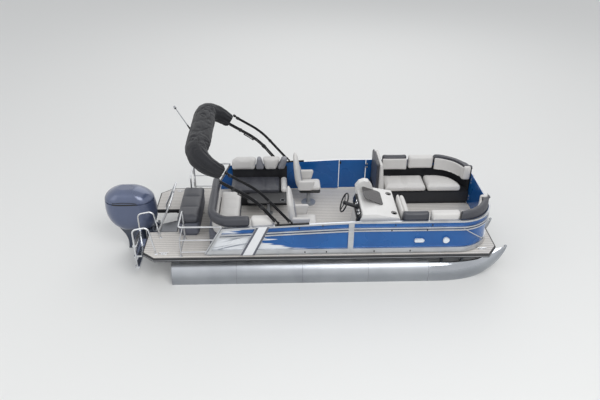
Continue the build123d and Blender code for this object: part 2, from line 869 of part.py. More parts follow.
def bench_back_run(y_start, x_end, low, high):
    """The back along the outer edge, from a place on the athwart leg to one on the side leg."""
    runs = []
    with BuildPart() as back:
        with BuildSketch(Plane.XY.offset(deck_z + low)):
            with BuildLine():
                for inset in (0, back_thick):
                    runs.append(FilletPolyline(
                        (bench_aft_x + inset, y_start), (bench_aft_x + inset, bench_outer_y + inset),
                        (x_end, bench_outer_y + inset), radius=bench_corner - inset))
                Line(runs[0] @ 0, runs[1] @ 0)
                Line(runs[0] @ 1, runs[1] @ 1)
            make_face()
        extrude(amount=high - low)
    return back.part


back_clear = 5
base_inset = 20
cushion_low = seat_base + running_gap
with BuildPart() as bench_base:
    add(bench_block(0, base_inset + kick_inset, running_gap, kick_height))
    add(bench_block(0, base_inset, kick_height, seat_base))
with BuildPart() as bench_seat:
    add(bench_block(back_thick + back_clear, 0, cushion_low, seat_top))
with BuildPart() as bench_back:
    add(bench_back_run(bench_port_y - base_inset, bench_split_x, cushion_low, bench_top))
arm_fall = 90
arm_slope = 120
with BuildPart() as bench_arm:
    add(side_plate(over_deck([
        (bench_split_x + back_clear, cushion_low),
        (bench_end_x, cushion_low),
        (bench_end_x, bench_top - arm_fall),
        (bench_end_x - arm_slope, bench_top),
        (bench_split_x + back_clear, bench_top),
    ]), bench_outer_y, bench_outer_y + back_thick))

# Chaise to port, along the aft fence
port_outer_y = -bench_outer_y
chaise_span = (bench_front_x - 240, bench_end_x + 260)
chaise_front_y = port_outer_y - 717
with BuildPart() as chaise_base:
    chaise_base_y = chaise_front_y + base_inset
    add(kick_base(box_plan(*chaise_span, chaise_base_y, port_outer_y),
                  box_plan(*chaise_span, chaise_base_y + kick_inset, port_outer_y), bench_small))
with BuildPart() as chaise_seat:
    add(slab(box_plan(*chaise_span, chaise_front_y, port_outer_y - back_thick - back_clear),
             cushion_low, seat_top, 50))
with BuildPart() as chaise_back:
    add(slab(box_plan(*chaise_span, port_outer_y - back_thick, port_outer_y), cushion_low, chaise_top, 50))

# Low table on its pedestal
table_x = -1000
table_y = 230
table_z = 335
table_half = (420, 200)
table_thick = 28
table_corner = 90
table_base = (90, 10)
table_post = 30
cup_reach = (290, -90)
cup_radius = 44
with BuildPart() as table_pedestal:
    with BuildSketch(Plane.XY.offset(deck_z)):
        with Locations((table_x, table_y)):
            Circle(table_base[0])
    extrude(amount=table_base[1])
    add(straight_bar((table_x, table_y, deck_z), (table_x, table_y, deck_z + table_z), table_post))
with BuildPart() as table_top:
    add(slab(box_plan(table_x - table_half[0], table_x + table_half[0], table_y - table_half[1],
                      table_y + table_half[1]), table_z, table_z + table_thick, table_corner))
    with Locations((table_x + cup_reach[0], table_y + cup_reach[1], deck_z + table_z + table_thick),
                   (table_x - cup_reach[0], table_y + cup_reach[1], deck_z + table_z + table_thick)):
        Hole(cup_radius)
pieces["table_top"] = table_top

# Helm console with a raised shoulder to port, its instrument panel, windscreen, wheel and throttle
console_side_gap = 49
console_low_y = -skin_inner_y + console_side_gap
console_high_y = -150
console_round = 24
# columns: place along, height over the deck
dash_foot = (645, 585)
dash_head = (735, 815)
console_outline = [
    (640, running_gap),
    (1420, running_gap),
    (1420, 730),
    (1180, 775),
    (1000, 815),
    dash_head,
    dash_foot,
    (700, 480),
]
shoulder_width = 130
shoulder_outline = [(706, 740), (690, 880), (760, 985), (850, 1020), (935, 1005), (1010, 900), (1060, 760)]
shoulder_round = 30
cup_well = 60
console_cups = [(1330, console_high_y - 150), (1330, console_low_y + 160)]
console_cup_radius = 42
with BuildPart() as helm_console:
    add(side_plate(over_deck(console_outline), console_low_y, console_high_y, console_round))
    add(side_plate(over_deck(shoulder_outline), console_high_y - shoulder_width, console_high_y,
                   shoulder_round))
    for x, y in console_cups:
        with Locations((x, y, deck_z + 760)):
            Cylinder(console_cup_radius, 2 * cup_well, mode=Mode.SUBTRACT)
pieces["helm_console"] = helm_console

helm_y = console_low_y + 460
dash_low = Vector(dash_foot[0], 0, deck_z + dash_foot[1])
dash_high = Vector(dash_head[0], 0, deck_z + dash_head[1])
dash_run = dash_high - dash_low
dash_normal = Vector(-dash_run.Z, 0, dash_run.X).normalized()
dash_middle = dash_low + dash_run * 0.5
dash_plane = Plane((dash_middle.X, helm_y, dash_middle.Z), x_dir=(0, 1, 0), z_dir=dash_normal)
dash_size = (700, 180)
dash_corner = 30
dash_thick = 16
hub_case = 34
hub_back = 24
column_length = 250
column_radius = 12
column_past = 20
with BuildPart() as dash_panel:
    with BuildSketch(dash_plane.offset(running_gap)):
        RectangleRounded(*dash_size, dash_corner)
    extrude(amount=dash_thick)
    with BuildSketch(dash_plane.offset(dash_thick)):
        Circle(hub_case)
    extrude(amount=column_length - hub_back - dash_thick)
    with BuildSketch(dash_plane.offset(dash_thick)):
        Circle(column_radius)
    extrude(amount=column_length + column_past - dash_thick)
pieces["dash_panel"] = dash_panel

wheel_radius = 180
wheel_rim = 14
wheel_hub = 38
wheel_hub_length = 60
wheel_dish = 20
spoke_radius = 9
spoke_angles = (90, 210, 330)
wheel_plane = dash_plane.offset(column_length)
with BuildPart() as steering_wheel:
    with BuildSketch(wheel_plane.offset(running_gap - hub_back)):
        Circle(wheel_hub)
    extrude(amount=wheel_hub_length)
    with BuildSketch(wheel_plane.offset(-hub_back - column_radius)):
        Circle(column_radius + pin_gap)
    extrude(amount=hub_back + column_radius + column_past + 2, mode=Mode.SUBTRACT)
    with BuildSketch(Plane(wheel_plane.origin, x_dir=wheel_plane.z_dir, z_dir=wheel_plane.x_dir)):
        with Locations((wheel_dish, wheel_radius)):
            Circle(wheel_rim)
    revolve(axis=Axis(wheel_plane.origin, wheel_plane.z_dir))
    for angle in spoke_angles:
        spoke = wheel_plane.x_dir * cos(radians(angle)) + wheel_plane.y_dir * sin(radians(angle))
        start = wheel_plane.origin + wheel_plane.z_dir * (wheel_dish / 2) + spoke * wheel_dish
        end = wheel_plane.origin + wheel_plane.z_dir * wheel_dish + spoke * (wheel_radius - wheel_rim / 2)
        add(straight_bar(tuple(start), tuple(end), spoke_radius))
pieces["steering_wheel"] = steering_wheel

throttle_y = console_low_y + 60
throttle_box = (80, 150)
throttle_deep = 50
lever_radius = 12
lever_run = Vector(-30, 0, 150)
grip_half = 38
grip_radius = 16
throttle_plane = Plane((dash_middle.X, throttle_y, dash_middle.Z), x_dir=(0, 1, 0), z_dir=dash_normal)
lever_foot = throttle_plane.origin + throttle_plane.z_dir * (throttle_deep - lever_radius / 2)
with BuildPart() as throttle:
    with BuildSketch(throttle_plane.offset(running_gap)):
        RectangleRounded(*throttle_box, 20)
    extrude(amount=throttle_deep)
    add(straight_bar(tuple(lever_foot), tuple(lever_foot + lever_run), lever_radius))
    lever_head = lever_foot + lever_run
    add(cross_pin(lever_head.X, lever_head.Z, lever_head.Y - grip_half, lever_head.Y + grip_half,
                  grip_radius))
pieces["throttle"] = throttle

# The windscreen leans aft from the console's top, between the shoulder and the helm
screen_foot = Vector(1160, 0, deck_z + 780.2)
screen_head = Vector(800, 0, deck_z + 930)
screen_thick = 9
screen_corner = 60
screen_taper = 30
screen_low_y = helm_y - 100
screen_high_y = console_high_y - shoulder_width - 10
screen_run = screen_head - screen_foot
screen_plane = Plane(screen_foot, x_dir=(0, 1, 0), z_dir=Vector(0, 1, 0).cross(screen_run))
with BuildPart() as windscreen:
    with BuildSketch(screen_plane) as screen_outline:
        with BuildLine():
            Polyline(
                (screen_low_y, 0), (screen_high_y, 0),
                (screen_high_y - screen_taper, screen_run.length),
                (screen_low_y + screen_taper, screen_run.length),
                close=True)
        make_face()
        fillet(screen_outline.vertices().group_by(Axis.Z)[-1], radius=screen_corner)
    extrude(amount=screen_thick)
pieces["windscreen"] = windscreen

# Chairs on pedestals: a seat, a back of rising sections and two arms, facing forward
chair_half = 265
chair_seat = (500, 510, 80)
chair_seat_low = 330
chair_seat_thick = 160
arm_width = 62
arm_span = (-240, 130)
arm_low = 420
arm_high = 665
arm_corner = 28
disc_radius = 150
disc_thick = 14
post_radius = 42
# columns: centre behind the seat's middle, height over the deck, width, thickness
chair_back_sections = [
    (-190, 420, 440, 110),
    (-225, 640, 500, 130),
    (-262, 900, 480, 120),
    (-292, 1130, 380, 70),
]


def pedestal(x, y):
    """A chair's foot disc and post."""
    with BuildPart() as post:
        with Locations((x, y, deck_z + disc_thick / 2)):
            Cylinder(disc_radius, disc_thick)
        add(straight_bar((x, y, deck_z), (x, y, deck_z + chair_seat_low), post_radius))
    return post.part


def chair(x, y):
    """One chair about its swivel."""
    with BuildPart() as seat:
        with BuildSketch(Plane.XY.offset(deck_z + chair_seat_low + running_gap)):
            with Locations((x, y)):
                RectangleRounded(*chair_seat)
        extrude(amount=chair_seat_thick)
        for reach, height, width, thick in chair_back_sections:
            with BuildSketch(Plane.XY.offset(deck_z + height)):
                with Locations((x + reach, y)):
                    RectangleRounded(thick, width, 0.45 * thick)
        loft()
        for side in (1, -1):
            arm_y = y + side * (chair_half - arm_width / 2)
            add(side_plate(over_deck([
                (x + arm_span[0], arm_low), (x + arm_span[1] - 60, arm_low),
                (x + arm_span[1], arm_high), (x + arm_span[0], arm_high),
            ]), arm_y - arm_width / 2, arm_y + arm_width / 2, arm_corner))
    return seat.part


helm_chair_x = -320
helm_chair_y = helm_y - 50
companion_x = -160
companion_y = 640
with BuildPart() as chair_pedestals:
    add(pedestal(helm_chair_x, helm_chair_y))
    add(pedestal(companion_x, companion_y))
    add(table_pedestal.part)
pieces["pedestals"] = chair_pedestals
with BuildPart() as helm_chair:
    add(chair(helm_chair_x, helm_chair_y))
pieces["helm_chair"] = helm_chair
with BuildPart() as companion_chair:
    add(chair(companion_x, companion_y))
pieces["companion_chair"] = companion_chair

# Bow lounges: each side has a base, a seat, an aft back and a bolster round the corner
lounge_inner_y = 500
lounge_outset = fence_depth + skin_thick + seat_gap


def lounge_block(x_aft, inset, inner_y, side, low, high):
    """Everything between the fence and a line along the boat, round the bow corner."""
    outer_y = side * (fence_y - lounge_outset - inset)
    fore_x = fence_x - lounge_outset - inset
    with BuildPart() as block:
        with BuildSketch(Plane.XY.offset(deck_z + low)):
            with BuildLine():
                outer = FilletPolyline(
                    (x_aft, outer_y), (fore_x, outer_y), (fore_x, side * inner_y),
                    radius=min(fence_radius - lounge_outset - inset, abs(outer_y) - inner_y - 1))
                Polyline(outer @ 1, (x_aft, side * inner_y), outer @ 0)
            make_face()
        extrude(amount=high - low)
    return block.part


lounge_starts = {1: gate_fore_x + 110, -1: 1450}
lounge_back_thick = 200
lounge_back_head = 130
lounge_back_top = (980, 1000)
lounge_back_past = 60
bolster_gate_half = 530
with BuildPart() as bow_bases:
    for side, start in lounge_starts.items():
        add(lounge_block(start, 0, lounge_inner_y + kick_inset, side, running_gap, kick_height))
        add(lounge_block(start, 0, lounge_inner_y, side, kick_height, seat_base))
with BuildPart() as bow_seats:
    for side, start in lounge_starts.items():
        add(lounge_block(start + lounge_back_thick + back_clear, back_thick + back_clear,
                         lounge_inner_y - seat_gap, side, cushion_low, seat_top))
with BuildPart() as bow_backs:
    for side, start in lounge_starts.items():
        add(side_plate(over_deck([
            (start, cushion_low),
            (start + lounge_back_thick, cushion_low),
            (start + lounge_back_head, lounge_back_top[0]),
            (start, lounge_back_top[1]),
        ]), *both(side, lounge_inner_y - lounge_back_past, fence_y - lounge_outset)))
with BuildPart() as bow_bolsters:
    for side, start in lounge_starts.items():
        add(bow_band(start + lounge_back_thick + back_clear, lounge_outset, back_thick, side,
                     cushion_low, bolster_top, bolster_gate_half))

furniture = {
    "seat_bases": (aft_lounge_base, bench_base, chaise_base, bow_bases),
    "seat_cushions": (aft_lounge_cushion, bench_seat, chaise_seat, bow_seats),
    "lounge_backs": (bench_back, bench_arm, chaise_back),
    "bow_backs": (bow_backs, bow_bolsters),
}
for name, blocks in furniture.items():
    with BuildPart() as group:
        for block in blocks:
            add(block.part)
    pieces[name] = group

# Bimini: tracks on the fences, arched bows and the cover over the folded canopy
bow_tube = 16
brace_tube = 14
bow_bend = 1500
pivot_x = -800
pivot_rise = 30
track_aft = pivot_x - 60
track_fore = pivot_x + 560
track_height = 26
lug_thick = 5
lug_sink = 3
lug_foot_half = 26
lug_head_half = 20
lug_over = 18
eye_outer = bow_tube + 6
eye_relief = 14
pin_radius = 6
arm_y = fence_y - bow_tube
pivot_z = deck_z + fence_height(pivot_x) + track_height + pivot_rise
lug_in = arm_y - bow_tube - lug_thick
lug_out = arm_y + bow_tube

with BuildPart() as bimini_tracks:
    for side in (1, -1):
        add(side_plate([
            (track_aft, deck_z + fence_height(track_aft)),
            (track_fore, deck_z + fence_height(track_fore)),
            (track_fore, deck_z + fence_height(track_fore) + track_height),
            (track_aft, deck_z + fence_height(track_aft) + track_height),
        ], *both(side, fence_inner_y, fence_y)))
        lug_foot_z = deck_z + fence_height(pivot_x) + lug_sink
        for edge in (lug_in, lug_out):
            add(side_plate([
                (pivot_x - lug_foot_half, lug_foot_z),
                (pivot_x + lug_foot_half, lug_foot_z),
                (pivot_x + lug_head_half, pivot_z + lug_over),
                (pivot_x - lug_head_half, pivot_z + lug_over),
            ], *both(side, edge, edge + lug_thick)))
        add(cross_pin(pivot_x, pivot_z, *both(side, lug_in, lug_out + lug_thick), pin_radius))
pieces["bimini_tracks"] = bimini_tracks

boot_slope = radians(32)
boot_along = Vector(-cos(boot_slope), 0, sin(boot_slope))
boot_across = Vector(sin(boot_slope), 0, cos(boot_slope))
boot_foot = Vector(pivot_x - 950, 0, pivot_z + 970)
boot_half = arm_y - 104
boot_rise = 540
boot_bend = 380
# columns: share of the way round, half size across, half size in the boot's plane
boot_sections = [
    (0, 150, 120), (0.14, 185, 175), (0.3, 200, 228), (0.7, 200, 228), (0.86, 185, 175), (1, 150, 120),
]
boot_plane = Plane(boot_foot, x_dir=(0, 1, 0), z_dir=boot_across)
with BuildPart() as bimini_boot:
    with BuildLine(boot_plane) as boot_path:
        FilletPolyline((-boot_half, 0), (-boot_half, boot_rise), (boot_half, boot_rise), (boot_half, 0),
                       radius=boot_bend)
    for share, half_across, half_wide in boot_sections:
        with BuildSketch(Plane(boot_path.line @ share, x_dir=boot_across, z_dir=boot_path.line % share)):
            Ellipse(half_across, half_wide)
    sweep(multisection=True)
pieces["bimini_boot"] = bimini_boot

# The bows run straight into the boot's feet; a lug there carries the brace's pin
arm_run = 720
arm_set = 100
brace_run = 640
brace_set = 96
brace_lead = 30
brace_lug = 56
brace_eye = brace_tube + 4
brace_eye_half = brace_tube + 3
brace_foot_x = pivot_x + 244
brace_foot_z = deck_z + fence_height(brace_foot_x) + track_height + brace_eye + 2 * running_gap
main_head = boot_foot - boot_across * arm_set
main_knee = main_head - boot_along * arm_run
brace_head = boot_foot + boot_across * brace_set - boot_along * brace_lead
brace_knee = brace_head - boot_along * brace_run
arm_face = bow_tube - running_gap
lug_low = boot_foot + boot_across * (brace_set - brace_eye)
lug_high = boot_foot + boot_across * (brace_set + brace_eye)
lug_reach = boot_along * -brace_lug
brace_lug_side = [
    (lug_low.X, lug_low.Z),
    (lug_high.X, lug_high.Z),
    ((lug_high + lug_reach).X, (lug_high + lug_reach).Z),
    ((lug_low + lug_reach).X, (lug_low + lug_reach).Z),
]
with BuildPart() as main_bow:
    for side in (1, -1):
        y = side * arm_y
        add(round_bar([
            (pivot_x, y, pivot_z), (main_knee.X, y, main_knee.Z), (main_head.X, y, main_head.Z),
        ], bow_tube, bow_bend))
        add(cross_pin(pivot_x, pivot_z, *both(side, arm_y - arm_face, arm_y + arm_face), eye_outer))
        for inner_face, outer_face in ((lug_in, arm_y - arm_face), (arm_y + arm_face, lug_out + lug_thick)):
            add(cross_pin(pivot_x, pivot_z, *both(side, inner_face, outer_face), eye_outer + eye_relief),
                mode=Mode.SUBTRACT)
        add(cross_pin(pivot_x, pivot_z, *both(side, lug_in, lug_out + lug_thick), pin_radius + pin_gap),
            mode=Mode.SUBTRACT)
        for inner_face in (-brace_eye_half - running_gap - lug_thick, brace_eye_half + running_gap):
            add(side_plate(brace_lug_side, *both(side, arm_y + inner_face, arm_y + inner_face + lug_thick)))
        brace_pin_half = brace_eye_half + lug_thick
        add(cross_pin(brace_head.X, brace_head.Z, *both(side, arm_y - brace_pin_half, arm_y + brace_pin_half),
                      pin_radius))
pieces["main_bow"] = main_bow

with BuildPart() as brace_bows:
    for side in (1, -1):
        y = side * arm_y
        add(round_bar([
            (brace_foot_x, y, brace_foot_z), (brace_knee.X, y, brace_knee.Z), (brace_head.X, y, brace_head.Z),
        ], brace_tube, bow_bend))
        for x, z in ((brace_foot_x, brace_foot_z), (brace_head.X, brace_head.Z)):
            add(cross_pin(x, z, y - brace_eye_half, y + brace_eye_half, brace_eye))
        add(cross_pin(brace_head.X, brace_head.Z, y - brace_eye_half, y + brace_eye_half,
                      pin_radius + pin_gap), mode=Mode.SUBTRACT)
pieces["brace_bows"] = brace_bows

# All-round light on a short pole, carried by the cover
pole_foot = Vector(boot_foot.X - 655, 0, boot_foot.Z + 328)
pole_top = pole_foot + Vector(-235, 0, 417)
light_top = pole_top + Vector(-22, 0, 40)
with BuildPart() as light_pole:
    add(straight_bar(tuple(pole_foot), tuple(pole_top), 9))
    add(straight_bar(tuple(pole_top), tuple(light_top), 20))
    add(bimini_boot.part, mode=Mode.SUBTRACT)
pieces["light_pole"] = light_pole

# Outboard motor: clamp bracket on the transom, swivel bracket, leg, cowl and propeller
clamp_half = 165
clamp_thick = 30
clamp_low = 60
clamp_jaw = 16
clamp_cheek = (25, -30, -45, -40, -10)
tilt_tube = 20
tilt_past = 60
transom_face = transom_x - running_gap
jaw_x = transom_x + transom_thick + clamp_jaw
with BuildPart() as clamp_bracket:
    for side in (1, -1):
        add(side_plate([
            (transom_face, clamp_low),
            (transom_face, transom_top + running_gap),
            (jaw_x, transom_top + running_gap),
            (jaw_x, transom_top + 24),
            (tilt_x + clamp_cheek[0], tilt_z + 42),
            (tilt_x + clamp_cheek[1], tilt_z + 42),
            (tilt_x + clamp_cheek[2], tilt_z),
            (tilt_x + clamp_cheek[3], 2 * clamp_low),
            (tilt_x + clamp_cheek[4], clamp_low),
        ], *both(side, clamp_half - clamp_thick, clamp_half)))
    add(cross_pin(tilt_x, tilt_z, -clamp_half - tilt_past, clamp_half + tilt_past, tilt_tube))
pieces["clamp_bracket"] = clamp_bracket

swivel_half = 118
swivel_web = 30
swivel_radius = 48
swivel_boss = 38
swivel_low = 90
swivel_high = 528
steer_shaft = 20
cowl_low = 570
with BuildPart() as swivel_bracket:
    add(side_plate([
        (tilt_x + 34, tilt_z + 34),
        (tilt_x + 34, tilt_z - 40),
        (transom_x - 40, 330),
        (swivel_x - 10, swivel_low),
        (swivel_x - 40, swivel_low),
        (swivel_x - 40, swivel_high),
        (tilt_x - 20, swivel_high),
    ], -swivel_web, swivel_web))
    add(straight_bar((swivel_x, 0, swivel_low), (swivel_x, 0, swivel_high), swivel_radius))
    add(cross_pin(tilt_x, tilt_z, -swivel_half, swivel_half, swivel_boss))
    add(straight_bar((swivel_x, 0, swivel_low), (swivel_x, 0, swivel_high), steer_shaft + pin_gap),
        mode=Mode.SUBTRACT)
    add(cross_pin(tilt_x, tilt_z, -swivel_half, swivel_half, tilt_tube + pin_gap), mode=Mode.SUBTRACT)
pieces["swivel_bracket"] = swivel_bracket

# Leg: a blade-shaped housing of level sections, the plate, the gearcase and its skeg
leg_nose_x = swivel_x - swivel_radius - 12
# columns: height, distance of the nose behind the swivel's face, length, half width
leg_sections = [
    (cowl_low, 0, 520, 150),
    (470, 0, 470, 118),
    (330, 0, 400, 74),
    (60, 0, 370, 56),
    (plate_z, 0, 400, 40),
]
strut_sections = [
    (plate_z, 20, 320, 34),
    (shaft_z, 80, 220, 26),
]
plate_thick = 12
skeg_low = -600
skeg_half = 9
yoke_over = 50
yoke_length = 200
hub_length = 130
# columns: place along, radius
gearcase_sections = [
    (propeller_x + hub_length / 2 + running_gap, 66),
    (leg_nose_x - 150, 60),
    (leg_nose_x - 60, 42),
    (leg_nose_x - 25, 16),
]


def blade_plan(nose_x, length, half_width):
    """A housing's level section: a round nose, full shoulders and a tapered tail."""
    shoulder_x = nose_x - 0.32 * length
    tail_x = nose_x - length
    with BuildLine() as outline:
        nose = ThreePointArc((shoulder_x, -half_width), (nose_x, 0), (shoulder_x, half_width))
        tail = ThreePointArc((tail_x, 0.3 * half_width), (tail_x - 0.2 * half_width, 0),
                             (tail_x, -0.3 * half_width))
        Line(nose @ 1, tail @ 0)
        Line(tail @ 1, nose @ 0)
    return outline.line


with BuildPart() as motor_leg:
    for sections in (leg_sections, strut_sections):
        for height, setback, length, half_width in sections:
            with BuildSketch(Plane.XY.offset(height)):
                with BuildLine():
                    add(blade_plan(leg_nose_x - setback, length, half_width))
                make_face()
        loft()
    with BuildSketch(Plane.XY.offset(plate_z)):
        with BuildLine():
            add(blade_plan(leg_nose_x + 10, 580, 120))
        make_face()
    extrude(amount=plate_thick)
    yoke_spans = ((swivel_high + running_gap, cowl_low), (swivel_low - yoke_over, swivel_low - running_gap))
    for low, high in yoke_spans:
        with BuildSketch(Plane.XY.offset(low)):
            with Locations((swivel_x - yoke_length / 4, 0)):
                SlotOverall(yoke_length, 2 * swivel_radius)
        extrude(amount=high - low)
    add(straight_bar((swivel_x, 0, swivel_low - yoke_over / 2), (swivel_x, 0, cowl_low), steer_shaft))
    for x, radius in gearcase_sections:
        with BuildSketch(Plane.YZ.offset(x)):
            with Locations((0, shaft_z)):
                Circle(radius)
    loft()
    add(side_plate([
        (leg_nose_x - 90, shaft_z), (leg_nose_x - 190, skeg_low), (leg_nose_x - 300, skeg_low),
        (leg_nose_x - 340, shaft_z),
    ], -skeg_half, skeg_half))
pieces["motor_leg"] = motor_leg

# Cowl: level sections of two arcs and flat flanks, with an air slot under the crown
# columns: height, reach aft and forward of the swivel, half width
cowl_sections = [
    (cowl_low, -560, 120, 196),
    (720, -700, 205, 262),
    (960, -770, 232, 286),
]
crown_sections = [
    (0, -760, 200, 284),
    (110, -705, 110, 250),
    (185, -600, -20, 190),
    (225, -480, -160, 96),
]
slot_low = 1180
slot_high = 1206
slot_deep = 22
cowl_flank = 0.3


def cowl_plan(aft, fore, half_width):
    """A level section of the cowl about the swivel."""
    flank_aft = swivel_x + aft + cowl_flank * (fore - aft)
    flank_fore = swivel_x + fore - cowl_flank * (fore - aft)
    with BuildLine() as outline:
        bow = ThreePointArc((flank_fore, -half_width), (swivel_x + fore, 0), (flank_fore, half_width))
        stern = ThreePointArc((flank_aft, half_width), (swivel_x + aft, 0), (flank_aft, -half_width))
        Line(bow @ 1, stern @ 0)
        Line(stern @ 1, bow @ 0)
    return outline.line


crown_foot = crown_sections[0]
with BuildPart() as motor_cowl:
    for height, aft, fore, half_width in cowl_sections + [(slot_low, *crown_foot[1:])]:
        with BuildSketch(Plane.XY.offset(height)):
            with BuildLine():
                add(cowl_plan(aft, fore, half_width))
            make_face()
    loft()
    with BuildSketch(Plane.XY.offset(slot_low)):
        with BuildLine():
            add(cowl_plan(crown_foot[1] + slot_deep, crown_foot[2] - slot_deep, crown_foot[3] - slot_deep))
        make_face()
    extrude(amount=slot_high - slot_low)
    for rise, aft, fore, half_width in crown_sections:
        with BuildSketch(Plane.XY.offset(slot_high + rise)):
            with BuildLine():
                add(cowl_plan(aft, fore, half_width))
            make_face()
    loft()
pieces["motor_cowl"] = motor_cowl

# Propeller: a hub and three blades of lens-shaped sections that lose pitch towards the tip
blade_radius = 190
hub_radius = 56
# columns: reach from the shaft, chord, pitch angle, thickness
blade_sections = [
    (30, 96, 62, 14),
    (110, 150, 46, 10),
    (blade_radius, 84, 34, 6),
]
blade_angles = (0, 120, 240)
with BuildPart() as propeller:
    with BuildSketch(Plane.YZ.offset(propeller_x - hub_length / 2)):
        with Locations((0, shaft_z)):
            Circle(hub_radius)
    extrude(amount=hub_length)
    for angle in blade_angles:
        out = Vector(0, cos(radians(angle)), sin(radians(angle)))
        across = Vector(0, -sin(radians(angle)), cos(radians(angle)))
        for reach, chord, pitch, thick in blade_sections:
            along = Vector(1, 0, 0) * sin(radians(pitch)) + across * cos(radians(pitch))
            with BuildSketch(Plane(Vector(propeller_x, 0, shaft_z) + out * reach, x_dir=along, z_dir=out)):
                with BuildLine():
                    ThreePointArc((-chord / 2, 0), (0, thick / 2), (chord / 2, 0))
                    ThreePointArc((chord / 2, 0), (0, -thick / 2), (-chord / 2, 0))
                make_face()
        loft()
pieces["propeller"] = propeller

for piece_name, piece in pieces.items():
    piece.part.label = piece_name
    export_step(piece.part, "parts/" + piece_name + ".step")
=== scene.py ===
from functools import partial
from math import atan2, cos, pi, radians, sin, sqrt
import bmesh
import bpy
from mathutils import Matrix, Vector, noise
from mathutils.kdtree import KDTree


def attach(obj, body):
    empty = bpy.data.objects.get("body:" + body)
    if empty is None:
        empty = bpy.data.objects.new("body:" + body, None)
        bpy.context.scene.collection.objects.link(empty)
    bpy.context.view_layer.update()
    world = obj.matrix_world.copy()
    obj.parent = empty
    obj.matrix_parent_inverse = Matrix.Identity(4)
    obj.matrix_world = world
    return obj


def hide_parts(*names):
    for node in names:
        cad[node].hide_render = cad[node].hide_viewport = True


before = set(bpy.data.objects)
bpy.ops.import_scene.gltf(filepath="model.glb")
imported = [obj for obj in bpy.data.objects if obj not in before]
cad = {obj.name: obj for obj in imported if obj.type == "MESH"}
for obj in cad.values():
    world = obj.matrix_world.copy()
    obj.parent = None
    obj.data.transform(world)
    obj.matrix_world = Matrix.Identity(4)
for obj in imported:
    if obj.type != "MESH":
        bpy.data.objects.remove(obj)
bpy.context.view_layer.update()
print("frame loaded,", len(cad), "nodes")

deckTop = 0.650  # height of the deck over the waterline, metres
sides = {"port": 1, "starboard": -1}

# Camera: ahead of the beam and above the rail, looking down on the starboard side
cameraView = {"place": (-0.77, -10.25, 7.32), "yaw": 2.27, "pitch": 31.25, "roll": 0.53, "lens": 36.07}


def placeCamera(view):
    yaw, pitch, roll = (radians(view[key]) for key in ("yaw", "pitch", "roll"))
    forward = Vector((sin(yaw) * cos(pitch), cos(yaw) * cos(pitch), -sin(pitch)))
    level = Vector((cos(yaw), -sin(yaw), 0))
    over = level.cross(forward)
    right = level * cos(roll) + over * sin(roll)
    up = over * cos(roll) - level * sin(roll)
    camera = bpy.data.objects.new("camera", bpy.data.cameras.new("camera"))
    camera.data.lens = view["lens"]
    camera.data.sensor_width = 36
    camera.data.clip_end = 200
    turn = Matrix((right, up, -forward)).transposed().to_4x4()
    camera.matrix_world = Matrix.Translation(view["place"]) @ turn
    bpy.context.scene.collection.objects.link(camera)
    bpy.context.scene.camera = camera


placeCamera(cameraView)

# Material tools
materials = {}
waveRate = pi / 10  # a wave texture of scale 1 repeats once in this many metres


def linear(code):  # sRGB hex to the renderer's linear values
    parts = [int(code[i:i + 2], 16) / 255 for i in (0, 2, 4)]
    return tuple(c / 12.92 if c <= 0.04045 else ((c + 0.055) / 1.055) ** 2.4 for c in parts) + (1.0,)


def perMetre(millimetres):  # texture scale for a feature of this size
    return 1000 / millimetres


def addNode(tree, kind, settings):  # a setting is a value, another node, or one output of a node
    made = tree.nodes.new("ShaderNode" + kind)
    for key, value in settings.items():
        value = value.outputs[0] if hasattr(value, "outputs") else value
        if hasattr(value, "is_output"):
            tree.links.new(value, made.inputs[key])
        elif isinstance(key, int) or key in made.inputs:
            made.inputs[key].default_value = value
        else:
            setattr(made, key, value)
    return made


def emptyTree(owner):  # clears a material or a world, and returns what adds nodes to it
    owner.use_nodes = True
    owner.node_tree.nodes.clear()
    return partial(addNode, owner.node_tree)


def newMaterial(name, settings):  # a principled material: what adds to it, its shader and the place on the object
    material = materials[name] = bpy.data.materials.new(name)
    add = emptyTree(material)
    shader = add("BsdfPrincipled", settings)
    add("OutputMaterial", {"Surface": shader})
    return add, shader, add("TexCoord", {}).outputs["Object"]


# colour and rough give a factor and the two ends it runs between, bump a height and its depth in millimetres;
# rough may also be a node that gives the value itself
def dress(add, shader, colour, rough=None, bump=None):
    low, high = (linear(end) if isinstance(end, str) else end for end in colour[1:])
    made = {"Base Color": add("Mix", {"data_type": "RGBA", 0: colour[0], 6: low, 7: high}).outputs[2]}
    if isinstance(rough, tuple):
        rough = add("MapRange", {"Value": rough[0], "To Min": rough[1], "To Max": rough[2]})
    if rough:
        made["Roughness"] = rough.outputs[0]
    if bump:
        made["Normal"] = add("Bump", {"Height": bump[0], "Distance": bump[1] / 1000}).outputs[0]
    for key, source in made.items():
        shader.id_data.links.new(source, shader.inputs[key])


# Marine vinyl: calendered and embossed, a soft leather grain under a satin top coat.
# The 1.5 mm grain is drawn at 7 mm so that it shows.
def makeVinyl(name, colour, soil, rough):
    add, shader, place = newMaterial(name, {"Roughness": rough, "Coat Weight": 0.12, "Coat Roughness": 0.35})
    cloud = add("TexNoise", {"Vector": place, "Scale": perMetre(420), "Detail": 4.0, "Roughness": 0.6})
    grain = add("TexVoronoi", {"Vector": place, "Scale": perMetre(7), "Randomness": 0.9})
    dress(add, shader, (cloud, soil, colour), (cloud, rough - 0.06, rough + 0.08), (grain, 0.6))


makeVinyl("pale vinyl", "dcdad7", "c6c4c2", 0.46)
makeVinyl("charcoal vinyl", "43454c", "36373e", 0.42)
makeVinyl("grey vinyl", "8f9096", "7f8087", 0.45)


